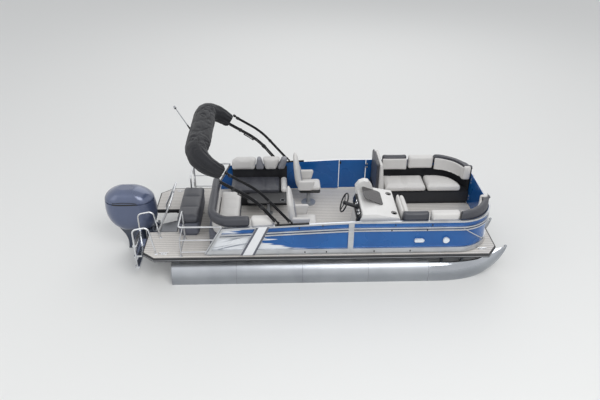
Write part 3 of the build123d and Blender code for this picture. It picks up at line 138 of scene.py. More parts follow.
# Aluminium, extruded or rolled: silver with fine draw lines along the length, satin where anodised
def makeAluminium(name, colour, rough, lines, depth, metal=1.0):  # draw lines per metre along X, Y and Z
    add, shader, place = newMaterial(name, {"Metallic": metal, "Roughness": rough})
    stretched = add("Mapping", {"Vector": place, "Scale": lines})
    drawn = add("TexNoise", {"Vector": stretched, "Scale": 1.0, "Detail": 3.0})
    cloud = add("TexNoise", {"Vector": place, "Scale": perMetre(260), "Detail": 2.0})
    both = add("Math", {"operation": "MULTIPLY", 0: drawn, 1: cloud})
    span = add("MapRange", {"Value": both, "From Min": 0.12, "From Max": 0.36})
    dark = tuple(c * 0.78 for c in linear(colour)[:3]) + (1.0,)
    dress(add, shader, (span, dark, colour), (both, rough - 0.08, rough + 0.22), (drawn, depth) if depth else None)


makeAluminium("anodised aluminium", "d0d2d5", 0.34, (1.5, 160, 160), 0.15)
# partly the casting's own grey, partly darkened throughout as painted shade standing for the shade under the deck
makeAluminium("cast aluminium with painted shade", "8f9297", 0.42, (60, 60, 60), 0.5)
makeAluminium("polished tube", "e4e6e9", 0.14, (6, 6, 6), 0)
makeAluminium("black anodised tube", "15161a", 0.34, (4, 120, 120), 0.1, metal=0.6)
makeAluminium("stainless propeller", "c2c5c9", 0.2, (30, 30, 30), 0)


# Rolled aluminium hull tube: mill finish with a blurred sheen, and buffed bright on the nose
def makeHullTube():
    add, shader, place = newMaterial("mill finish tube with painted dark reflection", {"Metallic": 1.0, "Roughness": 0.3})
    along = add("SeparateXYZ", {0: place})
    stretched = add("Mapping", {"Vector": place, "Scale": (1.2, 90, 90)})
    rolled = add("TexNoise", {"Vector": stretched, "Scale": 1.0, "Detail": 4.0})
    cloud = add("TexNoise", {"Vector": place, "Scale": perMetre(600), "Detail": 3.0})
    nose = add("MapRange", {"Value": along, "From Min": 2.04, "From Max": 2.10})
    mill = add("MapRange", {"Value": rolled, "To Min": 0.24, "To Max": 0.44})
    rough = add("Mix", {0: nose, 2: mill, 3: 0.1})
    # the metal colour is partly the mill finish's own grey and partly darkened throughout as a painted dark reflection
    dress(add, shader, (cloud, "8d9198", "b9bdc2"), rough, (rolled, 0.2))


makeHullTube()


# Woven vinyl floor: warm grey yarn with darker rows fore and aft.
# The 3 mm rows are drawn 60 mm apart, and the weave at 9 mm, so that they show.
def makeFloor():
    add, shader, place = newMaterial("woven vinyl floor", {"Roughness": 0.82, "Specular IOR Level": 0.3})
    rows = add("TexWave", {"Vector": place, "bands_direction": "Y", "Scale": perMetre(60) * waveRate,
                           "Distortion": 0.25, "Detail": 1.0, "Detail Scale": 2.0})
    knots = add("Mapping", {"Vector": place, "Scale": (perMetre(22), perMetre(9), perMetre(9))})
    weave = add("TexNoise", {"Vector": knots, "Scale": 1.0, "Detail": 2.0})
    row = add("MapRange", {"Value": rows.outputs[1], "From Min": 0.05, "From Max": 0.45})
    blend = add("Math", {"operation": "MULTIPLY", 0: row, 1: weave})
    span = add("MapRange", {"Value": blend, "From Min": 0.0, "From Max": 0.55})
    dress(add, shader, (span, "bbb7b2", "dedad5"), None, (blend, 1.2))


makeFloor()


# Extruded or moulded black and grey plastics: matt, scuffed a little paler, with a fine grain
def makeMatt(name, colour, worn, rough, grain, depth):
    add, shader, place = newMaterial(name, {"Roughness": rough})
    cloud = add("TexNoise", {"Vector": place, "Scale": perMetre(240), "Detail": 5.0, "Roughness": 0.65})
    span = add("MapRange", {"Value": cloud, "From Min": 0.35, "From Max": 0.7})
    fine = add("TexNoise", {"Vector": place, "Scale": perMetre(grain), "Detail": 2.0})
    dress(add, shader, (span, colour, worn), (span, rough - 0.05, rough + 0.12), (fine, depth))


makeMatt("rub rail vinyl", "1b1c1f", "2a2b2f", 0.5, 12, 0.3)
makeMatt("rub rail insert", "a3a5a8", "8f9194", 0.4, 12, 0.2)
makeMatt("black plastic", "17181b", "232427", 0.42, 6, 0.25)  # moulded ABS with a fine spark grain
# under the bolsters this black board also stands in for painted shade in the gap below the pads
makeMatt("black panel", "202125", "2c2d31", 0.55, 9, 0.4)  # vinyl-covered board under the seats
makeMatt("grey panel", "62656f", "555862", 0.55, 9, 0.4)
makeMatt("nylon hardware", "101114", "1c1d20", 0.38, 5, 0.2)


# Enamelled aluminium skin: deep blue gloss; aft it breaks into silver-white streaks on a white ground.
# The graphic is worked out from the place along the boat and the height.
def makeSkin():
    add, shader, place = newMaterial("blue enamel skin", {"Roughness": 0.3, "Metallic": 0.15, "Coat Weight": 0.3,
                                                           "Coat Roughness": 0.1})
    axes = add("SeparateXYZ", {0: place}).outputs
    # height over the sloping rails: below 1.19 is the main window, above is the narrow strip
    slope = add("MapRange", {"Value": axes["X"], "From Min": -1.82, "From Max": 0.53, "To Min": 0.112, "To Max": 0.0})
    height = add("Math", {"operation": "ADD", 0: axes["Z"], 1: slope})
    # the white ground reaches forward in a low wedge: its edge runs from X -1.2 at the top to X -0.15 at the foot
    low = add("MapRange", {"Value": height, "From Min": 1.16, "From Max": 0.79})
    curve = add("Math", {"operation": "POWER", 0: low, 1: 1.8})
    edge = add("Math", {"operation": "MULTIPLY_ADD", 0: curve, 1: 1.05, 2: -1.2})
    combed = add("Mapping", {"Vector": place, "Scale": (0.9, 0.4, 15)})
    streak = add("TexNoise", {"Vector": combed, "Scale": 1.0, "Detail": 2.5, "Roughness": 0.55})
    pull = add("Math", {"operation": "MULTIPLY_ADD", 0: streak, 1: 1.5, 2: -0.75})
    ahead = add("Math", {"operation": "SUBTRACT", 0: edge, 1: axes["X"]})
    whiteLow = add("Math", {"operation": "ADD", 0: ahead, 1: pull})
    strip = add("MapRange", {"Value": height, "From Min": 1.185, "From Max": 1.195, "To Min": 0, "To Max": -0.42})
    whiteAll = add("Math", {"operation": "ADD", 0: whiteLow, 1: strip})
    sharp = add("MapRange", {"Value": whiteAll, "From Min": -0.03, "From Max": 0.05})
    # only the outer face of the sheet is printed; the inner face stays blue
    side = add("Math", {"operation": "ABSOLUTE", 0: axes["Y"]})
    outer = add("Math", {"operation": "GREATER_THAN", 0: side, 1: 1.201})
    white = add("Math", {"operation": "MULTIPLY", 0: sharp, 1: outer})
    # pen strokes rise one in four towards the bow
    rise = add("Math", {"operation": "MULTIPLY_ADD", 0: axes["X"], 1: -0.25, 2: axes["Z"]})
    tall = add("Math", {"operation": "MULTIPLY", 0: rise, 1: 17.0})
    lines = add("CombineXYZ", {"X": axes["X"], "Z": tall})
    pen = add("TexNoise", {"Vector": lines, "Scale": 1.0, "Detail": 1.0})
    stroke = add("MapRange", {"Value": pen, "From Min": 0.55, "From Max": 0.66})
    ground = add("Mix", {"data_type": "RGBA", 0: stroke, 6: linear("e1e4e8"), 7: linear("8d939d")})
    cloud = add("TexNoise", {"Vector": place, "Scale": perMetre(500), "Detail": 2.0})
    blue = add("Mix", {"data_type": "RGBA", 0: cloud, 6: linear("0a498c"), 7: linear("0f65ad")})
    dress(add, shader, (white, blue.outputs[2], ground.outputs[2]), (cloud, 0.2, 0.34))


makeSkin()


# Gelcoat and enamel: a hard gloss coat over an even colour, slightly mottled by handling
def makeGloss(name, colour, shade, rough, coat, metal=0.0):
    add, shader, place = newMaterial(name, {"Roughness": rough, "Metallic": metal, "Coat Weight": coat,
                                             "Coat Roughness": 0.06})
    cloud = add("TexNoise", {"Vector": place, "Scale": perMetre(350), "Detail": 3.0})
    peel = add("TexNoise", {"Vector": place, "Scale": perMetre(14), "Detail": 1.0})
    dress(add, shader, (cloud, shade, colour), (cloud, rough - 0.05, rough + 0.08), (peel, 0.06))


makeGloss("white gelcoat", "e0dfdd", "d2d1cf", 0.34, 0.2)
makeGloss("white enamel", "edeef0", "dfe1e4", 0.3, 0.3)
makeGloss("motor enamel", "586380", "4c5670", 0.28, 0.8, 0.35)
makeGloss("motor grey casting", "3f4757", "363d4b", 0.4, 0.3, 0.35)
makeGloss("pedestal enamel", "a4a7ab", "94979b", 0.4, 0.2, 0.2)
makeGloss("red lens", "a11a1c", "8a1416", 0.12, 0.6)
makeGloss("dial face", "101216", "16181d", 0.2, 0.8)


# Chrome and cast acrylic: uniform by nature, so only smears vary their gloss
def makeClear(name, settings, colour, shade, low, high):
    add, shader, place = newMaterial(name, settings)
    smear = add("TexNoise", {"Vector": place, "Scale": perMetre(120), "Detail": 3.0})
    dress(add, shader, (smear, shade, colour), (smear, low, high))


makeClear("chrome trim", {"Metallic": 1.0}, "eceef0", "dfe1e4", 0.05, 0.14)
makeClear("smoked acrylic", {"Alpha": 0.8, "Coat Weight": 0.3}, "3b3a3f", "33302f", 0.04, 0.12)
makeClear("lamp lens", {"Coat Weight": 0.6}, "e6ecf2", "cfd8e2", 0.04, 0.12)


# Solution-dyed acrylic canvas: plain weave, near black, paler where folds catch dust.
# The 0.8 mm threads are drawn at 6 mm so that they show.
def makeCanvas():
    add, shader, place = newMaterial("acrylic canvas", {"Roughness": 0.78, "Sheen Weight": 0.12,
                                                         "Sheen Roughness": 0.5, "Specular IOR Level": 0.35})
    cloud = add("TexNoise", {"Vector": place, "Scale": perMetre(260), "Detail": 5.0, "Roughness": 0.6})
    warp, weft = (add("TexWave", {"Vector": place, "Scale": perMetre(6) * waveRate, "bands_direction": way})
                  for way in ("Y", "DIAGONAL"))
    cloth = add("Math", {"operation": "MULTIPLY", 0: warp.outputs[1], 1: weft.outputs[1]})
    dress(add, shader, (cloud, "17181b", "27282d"), None, (cloth, 0.5))


makeCanvas()


# Seat bases: one moulding per seat, black; abaft the chairs to starboard and under the sunpad the board is painted
# grey, painted light standing for the dark board where it is lit
def makeBases():
    add, shader, place = newMaterial("seat base board", {"Roughness": 0.55})
    axes = add("SeparateXYZ", {0: place}).outputs
    # painted light: this mask marks the bases drawn paler grey, as the dark board looks where it is lit
    aft = add("Math", {"operation": "LESS_THAN", 0: axes["X"], 1: -0.8})
    side = add("Math", {"operation": "LESS_THAN", 0: axes["Y"], 1: 0.425})
    sunpad = add("Math", {"operation": "LESS_THAN", 0: axes["X"], 1: -2.25})
    corner = add("Math", {"operation": "MULTIPLY", 0: aft, 1: side})
    grey = add("Math", {"operation": "MAXIMUM", 0: corner, 1: sunpad})
    cloud = add("TexNoise", {"Vector": place, "Scale": perMetre(240), "Detail": 4.0})
    # the paler pair is the painted lit grey; the black pair is the board's own colour
    board, black = (add("Mix", {"data_type": "RGBA", 0: cloud, 6: linear(low), 7: linear(high)})
                    for low, high in (("585b66", "686b76"), ("1e1f23", "2a2b30")))
    fine = add("TexNoise", {"Vector": place, "Scale": perMetre(9), "Detail": 2.0})
    dress(add, shader, (grey, black.outputs[2], board.outputs[2]), None, (fine, 0.3))


makeBases()

nodeMaterials = {
    "woven vinyl floor": ["deck"],
    "rub rail vinyl": ["rub_rail"],
    "mill finish tube with painted dark reflection": ["tubes"],
    "cast aluminium with painted shade": ["tube_risers", "cross_members", "motor_pod"],
    "anodised aluminium": ["fences_aft", "fences_bow", "gate_hinges", "side_gate", "bow_gate", "stern_rails",
                           "stern_gate", "tow_bar"],
    "blue enamel skin": ["panels", "side_gate_panel", "bow_gate_panel"],
    "white enamel": ["accent_panels"],
    "pedestal enamel": ["pedestals", "light_pole"],
    "polished tube": ["ladder_rails", "ladder_lower", "cleats"],
    "lamp lens": ["bow_lights"],
    "seat base board": ["seat_bases"],
    "pale vinyl": ["seat_cushions", "bow_backs", "helm_chair", "companion_chair"],
    "charcoal vinyl": ["lounge_backs"],
    "black plastic": ["table_top", "dash_panel", "steering_wheel", "throttle"],
    "white gelcoat": ["helm_console"],
    "smoked acrylic": ["windscreen"],
    "black anodised tube": ["bimini_tracks", "main_bow", "brace_bows"],
    "acrylic canvas": ["bimini_boot"],
    "motor enamel": ["motor_cowl"],
    "motor grey casting": ["clamp_bracket", "swivel_bracket", "motor_leg"],
    "stainless propeller": ["propeller"],
}


def paint(piece, name):
    piece.data.materials.clear()
    piece.data.materials.append(materials[name])


for key, names in nodeMaterials.items():
    for name in names:
        paint(cad[name], key)
print("materials made,", len(materials))


# Mesh tools
def newPiece(name, verts, faces, material, body, smooth):
    mesh = bpy.data.meshes.new(name)
    mesh.from_pydata([tuple(v) for v in verts], [], faces)
    mesh.validate()
    work = bmesh.new()
    work.from_mesh(mesh)
    bmesh.ops.recalc_face_normals(work, faces=work.faces)
    work.to_mesh(mesh)
    work.free()
    if smooth:
        mesh.shade_smooth()
        mesh.set_sharp_from_angle(angle=radians(smooth))
    piece = bpy.data.objects.new(name, mesh)
    bpy.context.scene.collection.objects.link(piece)
    paint(piece, material)
    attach(piece, body)
    return piece


def addParts(name, parts, material="nylon hardware", body="hull", smooth=35):  # several forms as one piece
    verts, faces = [], []
    for partVerts, partFaces in parts:
        faces += [tuple(len(verts) + i for i in face) for face in partFaces]
        verts += partVerts
    newPiece(name, verts, faces, material, body, smooth)


def skinRows(rows, caps=True):  # closed rings of equal length joined one to the next
    count = len(rows[0])
    faces = []
    for start in range(0, (len(rows) - 1) * count, count):
        for k in range(count):
            n = (k + 1) % count
            faces.append((start + k, start + n, start + count + n, start + count + k))
    if caps:
        faces.append(tuple(reversed(range(count))))
        faces.append(tuple((len(rows) - 1) * count + k for k in range(count)))
    return [v for row in rows for v in row], faces


def sideAxes(direction):
    direction = direction.normalized()
    lead = Vector((0, 0, 1)) if abs(direction.z) < 0.9 else Vector((1, 0, 0))
    first = direction.cross(lead).normalized()
    return first, direction.cross(first).normalized()


def circle(first, second, radius, count):  # steps from a centre to points round it
    turns = [2 * pi * k / count for k in range(count)]
    return [(first * cos(turn) + second * sin(turn)) * radius for turn in turns]


def tubeAlong(points, radius, count=8, closed=False):  # a round tube through points
    points = [Vector(p) for p in points]
    rows, first = [], None
    for i, point in enumerate(points):
        before = points[i - 1] if closed or i else point
        after = points[(i + 1) % len(points)] if closed or i < len(points) - 1 else point
        heading = (after - before).normalized()
        if first is None:
            first = sideAxes(heading)[0]
        first = (first - heading * first.dot(heading)).normalized()
        rows.append([point + step for step in circle(first, heading.cross(first), radius, count)])
    if closed:
        rows.append(rows[0])
    return skinRows(rows, not closed)


def turned(place, axis, profile, count=24):  # profile: radius, then distance along the axis
    axis = Vector(axis).normalized()
    return skinRows([[Vector(place) + axis * along + step for step in circle(*sideAxes(axis), radius, count)]
                     for radius, along in profile])


def ringAt(place, axis, radius, thick, count=28):  # a torus
    steps = circle(*sideAxes(Vector(axis).normalized()), radius, count)
    return tubeAlong([Vector(place) + step for step in steps], thick, closed=True)


def rectangle(xLow, xHigh, yLow, yHigh):
    return [(xLow, yLow), (xHigh, yLow), (xHigh, yHigh), (xLow, yHigh)]


def span(side, first, second):  # two distances from the middle as a low and a high Y on one side
    return sorted((side * first, side * second))


def roundPlan(points, radii, steps=8):  # a closed plan with its corners rounded
    count = len(points)
    if not hasattr(radii, "__len__"):
        radii = [radii] * count
    plan = []
    for i in range(count):
        corner = Vector(points[i])
        toBack = (Vector(points[i - 1]) - corner).normalized()
        toNext = (Vector(points[(i + 1) % count]) - corner).normalized()
        half = toBack.angle(toNext) / 2
        if radii[i] <= 0 or half > 1.55:  # no radius, or a corner that is all but straight
            plan.append(tuple(corner))
            continue
        reach = radii[i] / (sin(half) / cos(half))
        centre = corner + (toBack + toNext).normalized() * (radii[i] / sin(half))
        start, end = corner + toBack * reach - centre, corner + toNext * reach - centre
        swing = start.angle_signed(end)
        for k in range(steps + 1):
            turn = -swing * k / steps
            plan.append((centre.x + start.x * cos(turn) - start.y * sin(turn),
                         centre.y + start.x * sin(turn) + start.y * cos(turn)))
    return plan


def bendPath(points, radius, steps=10):  # an open path with its inner corners rounded
    return roundPlan(points, [0] + [radius] * (len(points) - 2) + [0], steps)


def shrinkPlan(plan, inset):  # each point moves in by the inset, square to its edges
    if not inset:
        return plan
    count = len(plan)
    area = sum(plan[i - 1][0] * plan[i][1] - plan[i][0] * plan[i - 1][1] for i in range(count))
    way = 1 if area > 0 else -1
    moved = []
    for i in range(count):
        here = Vector(plan[i])
        before, after = here - Vector(plan[i - 1]), Vector(plan[(i + 1) % count]) - here
        if before.length < 1e-7 or after.length < 1e-7:
            before = after = before if before.length > after.length else after
        before, after = before.normalized(), after.normalized()
        square = Vector((-before.y, before.x)) * way
        normal = Vector((-(before.y + after.y), before.x + after.x)) * way
        if normal.length < 1e-6:
            normal = square.copy()
        normal.normalize()
        moved.append(tuple(here + normal * (inset / max(0.5, normal.dot(square)))))
    return moved


def densify(path, step):  # extra points along the straight stretches of an open path
    full = []
    for a, b in zip(path, path[1:]):
        a, b = Vector(a), Vector(b)
        parts = max(1, int((b - a).length / step))
        full += [tuple(a.lerp(b, k / parts)) for k in range(parts)]
    return full + [tuple(path[-1])]


def plate(plan, low, high, rim=0.002):  # a board of one plan with softened edges
    return skinRows([[(u, v, z) for u, v in shrinkPlan(plan, inset)]
                     for inset, z in ((rim, low), (0, low + rim), (0, high - rim), (rim, high))])


def block(low, high, edge):  # a box with rounded upright edges and softened rims
    plan = roundPlan(rectangle(low[0], high[0], low[1], high[1]), edge, 4)
    return plate(plan, low[2], high[2], min(edge * 0.5, (high[2] - low[2]) / 3))


# Padded pieces: each starts as a closed form a little smaller than its CAD solid and is remeshed. Then all
# of them swell under cloth pressure at once while seams and undersides are held, so they crown in between.
soft = {"inset": 0.008, "voxel": 0.023, "frames": 20, "seamDepth": 0.007, "seamWidth": 0.014}
clothing = {"quality": 4, "mass": 0.3, "tension_stiffness": 12, "compression_stiffness": 12, "shear_stiffness": 8,
            "bending_stiffness": 2, "use_pressure": True, "uniform_pressure_force": 4, "vertex_group_mass": "held"}
pads = []


def padForm(points, radii, low, high, edge=0.045, inset=soft["inset"], upright=False):  # upright: drawn on X and Z
    low, high = low + inset, high - inset
    if not hasattr(radii, "__len__"):
        radii = [radii] * len(points)
    rows = []
    for middle, way, turns in ((low + edge, -1, (90, 60, 30, 0)), (high - edge, 1, (0, 30, 60, 90))):
        for turn in turns:
            back = inset + edge * (1 - cos(radians(turn)))
            level = middle + edge * sin(radians(turn)) * way
            plan = roundPlan(shrinkPlan(points, back), [max(0.004, r - back) if r else 0 for r in radii])
            rows.append([(u, level, v) if upright else (u, v, level) for u, v in plan])
    return skinRows(rows)


def boxForm(xLow, xHigh, yLow, yHigh, corner, low, high, edge=0.045, inset=soft["inset"]):
    return padForm(rectangle(xLow, xHigh, yLow, yHigh), corner, low, high, edge, inset)


def bandForm(outer, inner, low, high, edge, inset=soft["inset"], corner=0.03):  # between two paths
    radii = [corner] + [0] * (len(outer) - 2) + [corner, corner] + [0] * (len(inner) - 2) + [corner]
    return padForm(outer + inner[::-1], radii, low, high, edge, inset)


def bakeMesh(piece):  # the mesh as its modifiers leave it
    graph = bpy.context.evaluated_depsgraph_get()
    mesh = bpy.data.meshes.new_from_object(piece.evaluated_get(graph))
    piece.modifiers.clear()
    old = piece.data
    piece.data = mesh
    bpy.data.meshes.remove(old)


# cap: how far the pad may swell along X, Y and Z; under: its underside is held down as well as its seams
def addPad(name, form, material, node, seams=(), cap=(0.008, 0.008, 0.018), body="hull", voxel=soft["voxel"],
           fill=0.7, under=False, smoothing=3):
    piece = newPiece(name, *form, material, body, smooth=0)
    remesh = piece.modifiers.new("remesh", "REMESH")
    remesh.mode = "VOXEL"
    remesh.voxel_size = voxel
    relax = piece.modifiers.new("relax", "SMOOTH")
    relax.factor = 0.5
    relax.iterations = smoothing
    bakeMesh(piece)
    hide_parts(node)
    pads.append({"piece": piece, "seams": seams, "cap": cap, "under": under, "fill": fill, "voxel": voxel,
                 "start": [v.co.copy() for v in piece.data.vertices]})


def seamShare(point, seams, width):  # 1 on a seam, falling to 0 beside it
    nearest = min((abs(point["xyz".index(axis)] - value) for axis, value in seams), default=1.0)
    return max(0.0, 1 - nearest / width)


def swellPads():
    for pad in pads:
        floor = min(v.z for v in pad["start"])
        held = pad["piece"].vertex_groups.new(name="held")
        for i, point in enumerate(pad["start"]):
            sewn = seamShare(point, pad["seams"], pad["voxel"] * 0.8) > 0
            if sewn or pad["under"] and point.z < floor + 0.02:
                held.add([i], 1.0, "REPLACE")
        cloth = pad["piece"].modifiers.new("swell", "CLOTH")
        for key, value in clothing.items():
            setattr(cloth.settings, key, value)
        cloth.settings.effector_weights.gravity = 0
    for step in range(1, soft["frames"] + 1):
        bpy.context.scene.frame_set(step)
    graph = bpy.context.evaluated_depsgraph_get()
    for pad in pads:
        piece = pad["piece"]
        swollen = [v.co.copy() for v in piece.evaluated_get(graph).data.vertices]
        piece.modifiers.clear()
        piece.vertex_groups.clear()
        for vertex, start, end in zip(piece.data.vertices, pad["start"], swollen):
            move = end - start
            over = sqrt(sum((move[k] / pad["cap"][k]) ** 2 for k in range(3)))
            vertex.co = start + move / max(1.0, over)
    bpy.context.scene.frame_set(1)


def finishPads():  # seams drawn in, one subdivision
    for pad in pads:
        piece = pad["piece"]
        if pad["seams"]:
            normals = [v.normal.copy() for v in piece.data.vertices]
            for vertex, start, normal in zip(piece.data.vertices, pad["start"], normals):
                share = seamShare(start, pad["seams"], soft["seamWidth"] + pad["voxel"] * 0.5)
                vertex.co -= normal * soft["seamDepth"] * share
        finer = piece.modifiers.new("finer", "SUBSURF")
        finer.levels = finer.render_levels = 1
        bakeMesh(piece)
        piece.data.shade_smooth()


# Aft lounge: one wide charcoal pad, sewn in three
seatZ = (0.9503, 1.1)
backLow = 0.955  # foot of the backs and boards
lounge = {"aft": -2.74, "fore": -2.31, "half": 0.61, "corner": 0.07, "seams": [("y", -0.2), ("y", 0.2)]}
addPad("aft_lounge_pad", boxForm(lounge["aft"], lounge["fore"], -lounge["half"], lounge["half"], lounge["corner"],
                                 *seatZ, 0.05), "charcoal vinyl", "seat_cushions", lounge["seams"], under=True)

# Corner bench to starboard: two seats, a roll over the back pads, and a pale arm block
bench = {"aft": -2.11, "outer": -1.187, "split": -1.31, "end": -0.86, "corner": 0.42, "thick": 0.16, "front": -0.60,
         "fore": -1.54, "port": 0.42, "rollLow": 1.225, "top": 1.45, "seatAft": -1.945, "seatOuter": -1.022}


def benchPath(inset):
    outer = bench["outer"] + inset
    return bendPath([(bench["aft"] + inset, 0.40), (bench["aft"] + inset, outer), (bench["split"], outer)],
                    bench["corner"] - inset)


armAft = bench["split"] + 0.008
armOutline = [(armAft, backLow), (bench["end"], backLow), (bench["end"], 1.36), (-0.98, bench["top"]),
              (armAft, bench["top"])]
addPad("bench_seat_athwart", boxForm(bench["seatAft"], bench["fore"], bench["front"] + 0.004, bench["port"], 0.05,
                                     *seatZ), "pale vinyl", "seat_cushions", [("y", -0.26), ("y", 0.08)], under=True)
addPad("bench_seat_side", boxForm(bench["seatAft"], bench["end"], bench["seatOuter"], bench["front"] - 0.004,
                                  [0.255, 0.05, 0.05, 0.05], *seatZ),
       "pale vinyl", "seat_cushions", [("x", -1.52), ("x", -1.19)], under=True)
addPad("bench_back_roll", bandForm(benchPath(0), benchPath(bench["thick"]), bench["rollLow"], bench["top"], 0.066),
       "charcoal vinyl", "lounge_backs", [("y", -0.05)], (0.008, 0.008, 0.01))
addPad("bench_back_pad", bandForm(benchPath(0.07), benchPath(bench["thick"]), backLow, bench["rollLow"] + 0.008,
                                  0.03), "pale vinyl", "lounge_backs", [("y", -0.05), ("y", -0.45)],
       (0.008, 0.008, 0.004))
addPad("bench_arm_block", padForm(armOutline, [0.05, 0.05, 0.08, 0.09, 0.05], bench["outer"], bench["outer"] + 0.16,
                                  upright=True), "pale vinyl", "lounge_backs", (), (0.008, 0.012, 0.008))

# Chaise to port: charcoal seat with a pale end roll, and a pale back between grey wedges, each drawn on X and Z
chaise = {"aft": -1.78, "fore": -0.60, "front": 0.47, "back": 1.022, "inner": 1.027, "outer": 1.187, "parts": {
    "chaise_head": ("pale vinyl", [(-1.78, 1.215), (-1.29, 1.215), (-1.25, 1.46), (-1.31, 1.5), (-1.67, 1.5),
                                   (-1.78, 1.41)], [0.05, 0.05, 0.04, 0.06, 0.12, 0.07]),
    "chaise_wedge_aft": ("grey vinyl", [(-1.28, 1.215), (-1.075, 1.215), (-1.15, 1.5), (-1.24, 1.5)], 0.042),
    "chaise_back": ("pale vinyl", [(-1.065, 1.215), (-0.84, 1.215), (-0.73, 1.5), (-1.14, 1.5)], 0.05),
    "chaise_wedge_fore": ("grey vinyl", [(-0.83, 1.215), (-0.66, 1.215), (-0.60, 1.40), (-0.60, 1.5), (-0.72, 1.5)],
                          0.042)}}
addPad("chaise_seat", boxForm(chaise["aft"], -0.755, chaise["front"], chaise["back"], 0.05, *seatZ),
       "charcoal vinyl", "seat_cushions", [("x", -1.42), ("x", -1.08)], under=True)
addPad("chaise_end_roll", boxForm(-0.75, chaise["fore"], chaise["front"], chaise["back"], 0.06, *seatZ, 0.06),
       "pale vinyl", "seat_cushions", under=True)
for name, (colour, outline, radii) in chaise["parts"].items():
    addPad(name, padForm(outline, radii, chaise["inner"], chaise["outer"], 0.04, 0.006, upright=True), colour,
           "lounge_backs", (), (0.006, 0.012, 0.006), voxel=0.019)

# Bow lounges: seats, leaning aft backs, and a two-tone bolster round each corner. Measured in from the fence, outset
# is the bolster's outer face, roll the inner face of its roll and deep that of its pads. Cuts are the two ends of the
# roll's pale stretch.
bow = {"start": {"port": 1.21, "starboard": 1.45}, "fenceY": 1.235, "fenceX": 3.24, "radius": 0.70, "outset": 0.048,
       "deep": 0.208, "roll": 0.17, "gate": 0.53, "bolsterGate": 0.63, "seatY": 0.488, "split": 2.3, "rollLow": 1.27,
       "top": 1.52, "padLow": 1.2, "padTop": 1.47, "cuts": (1.965, 2.56), "foreStart": 2.535}
# The port back is tall and dark behind; the starboard one is low behind the console, and the roll runs past it
leans = {"port": {"top": 1.65, "lip": 0.13, "outer": 0.048, "shell": "charcoal vinyl", "rollStart": 0.205},
         "starboard": {"top": 1.49, "lip": 0.145, "outer": 0.178, "shell": "pale vinyl", "rollStart": 0.006}}


def bowPath(side, inset, start, gate):
    y, x = side * (bow["fenceY"] - inset), bow["fenceX"] - inset
    return bendPath([(start, y), (x, y), (x, side * gate)], bow["radius"] - inset)


def inward(side, first, second):  # two distances in from the fence as a low and a high Y
    return span(side, bow["fenceY"] - first, bow["fenceY"] - second)


for word, side in sides.items():
    start, lean, seatEdge = bow["start"][word], leans[word], bow["deep"] + 0.005
    foreSeat = bowPath(side, seatEdge, bow["split"] + 0.005, bow["seatY"])
    foreSeat.append((bow["split"] + 0.005, side * bow["seatY"]))
    addPad("bow_seat_fore_" + word, padForm(foreSeat, [0.05] + [0] * (len(foreSeat) - 3) + [0.05, 0.05], *seatZ, 0.04),
           "pale vinyl", "seat_cushions", under=True)
    addPad("bow_seat_aft_" + word,
           boxForm(start + 0.205, bow["split"] - 0.005, *span(side, bow["seatY"], bow["fenceY"] - seatEdge), 0.05,
                   *seatZ), "pale vinyl", "seat_cushions", [("x", (start + 0.205 + bow["split"]) / 2)], under=True)
    yLow, yHigh = span(side, 0.44, bow["fenceY"] - lean["outer"])
    slope = [(start + 0.060, backLow), (start + 0.2, backLow), (start + lean["lip"], lean["top"] - 0.02),
             (start + 0.056, lean["top"] - 0.005)]
    addPad("bow_back_pad_" + word,
           padForm(slope, [0.05, 0.05, 0.032, 0.032], yLow + 0.004, yHigh - 0.004, 0.032, 0.005, upright=True),
           "pale vinyl", "bow_backs", [("z", 1.33)], (0.008, 0.005, 0.005), voxel=0.021)
    rear = [(start, backLow), (start + 0.058, backLow), (start + 0.054, lean["top"] - 0.004), (start, lean["top"])]
    addPad("bow_back_shell_" + word, padForm(rear, 0.024, yLow, yHigh, 0.022, 0.002, upright=True), lean["shell"],
           "bow_backs", (), (0.002,) * 3, voxel=0.022)
    rollEdge, padBack, padEdge = (bowPath(side, inset, bow["foreStart"], bow["bolsterGate"])
                                  for inset in (bow["roll"], bow["roll"] + 0.001, bow["deep"]))
    outerEdge = bowPath(side, bow["outset"], bow["foreStart"], bow["bolsterGate"])
    for part, colour, form in (
            ("bolster_roll_aft_", "charcoal vinyl",
             boxForm(start + lean["rollStart"], bow["cuts"][0] - 0.004, *inward(side, bow["outset"], bow["roll"]),
                     0.045, bow["rollLow"], bow["top"], 0.042)),
            ("bolster_middle_", "pale vinyl",
             boxForm(bow["cuts"][0] + 0.004, bow["cuts"][1] - 0.03, *inward(side, bow["outset"], bow["deep"]),
                     0.055, bow["padLow"], bow["top"], 0.05)),
            ("bolster_roll_fore_", "charcoal vinyl",
             bandForm(outerEdge, rollEdge, bow["rollLow"], bow["top"], 0.05))):
        addPad(part + word, form, colour, "bow_backs", (), (0.008,) * 3, voxel=0.019)
    # the pads in front of the roll reach lower than it does
    for part, form in (
            ("bolster_pad_fore_", bandForm(padBack, padEdge, bow["padLow"], bow["padTop"], 0.014, 0.002, 0.018)),
            ("bolster_pad_aft_", boxForm(start + 0.21, bow["cuts"][0] - 0.004,
                                         *inward(side, bow["roll"] + 0.001, bow["deep"]), 0.018, bow["padLow"],
                                         bow["padTop"], 0.014, 0.002))):
        addPad(part + word, form, "pale vinyl", "bow_backs", (), (0.004, 0.004, 0.006), voxel=0.014, smoothing=1)
    addPad("bolster_end_" + word, boxForm(3.032, 3.192, *span(side, bow["gate"], 0.625), 0.04, bow["padLow"],
                                          bow["top"], 0.036, 0.005),
           "pale vinyl", "bow_backs", (), (0.005,) * 3, voxel=0.016)
print("seats and bolsters formed")

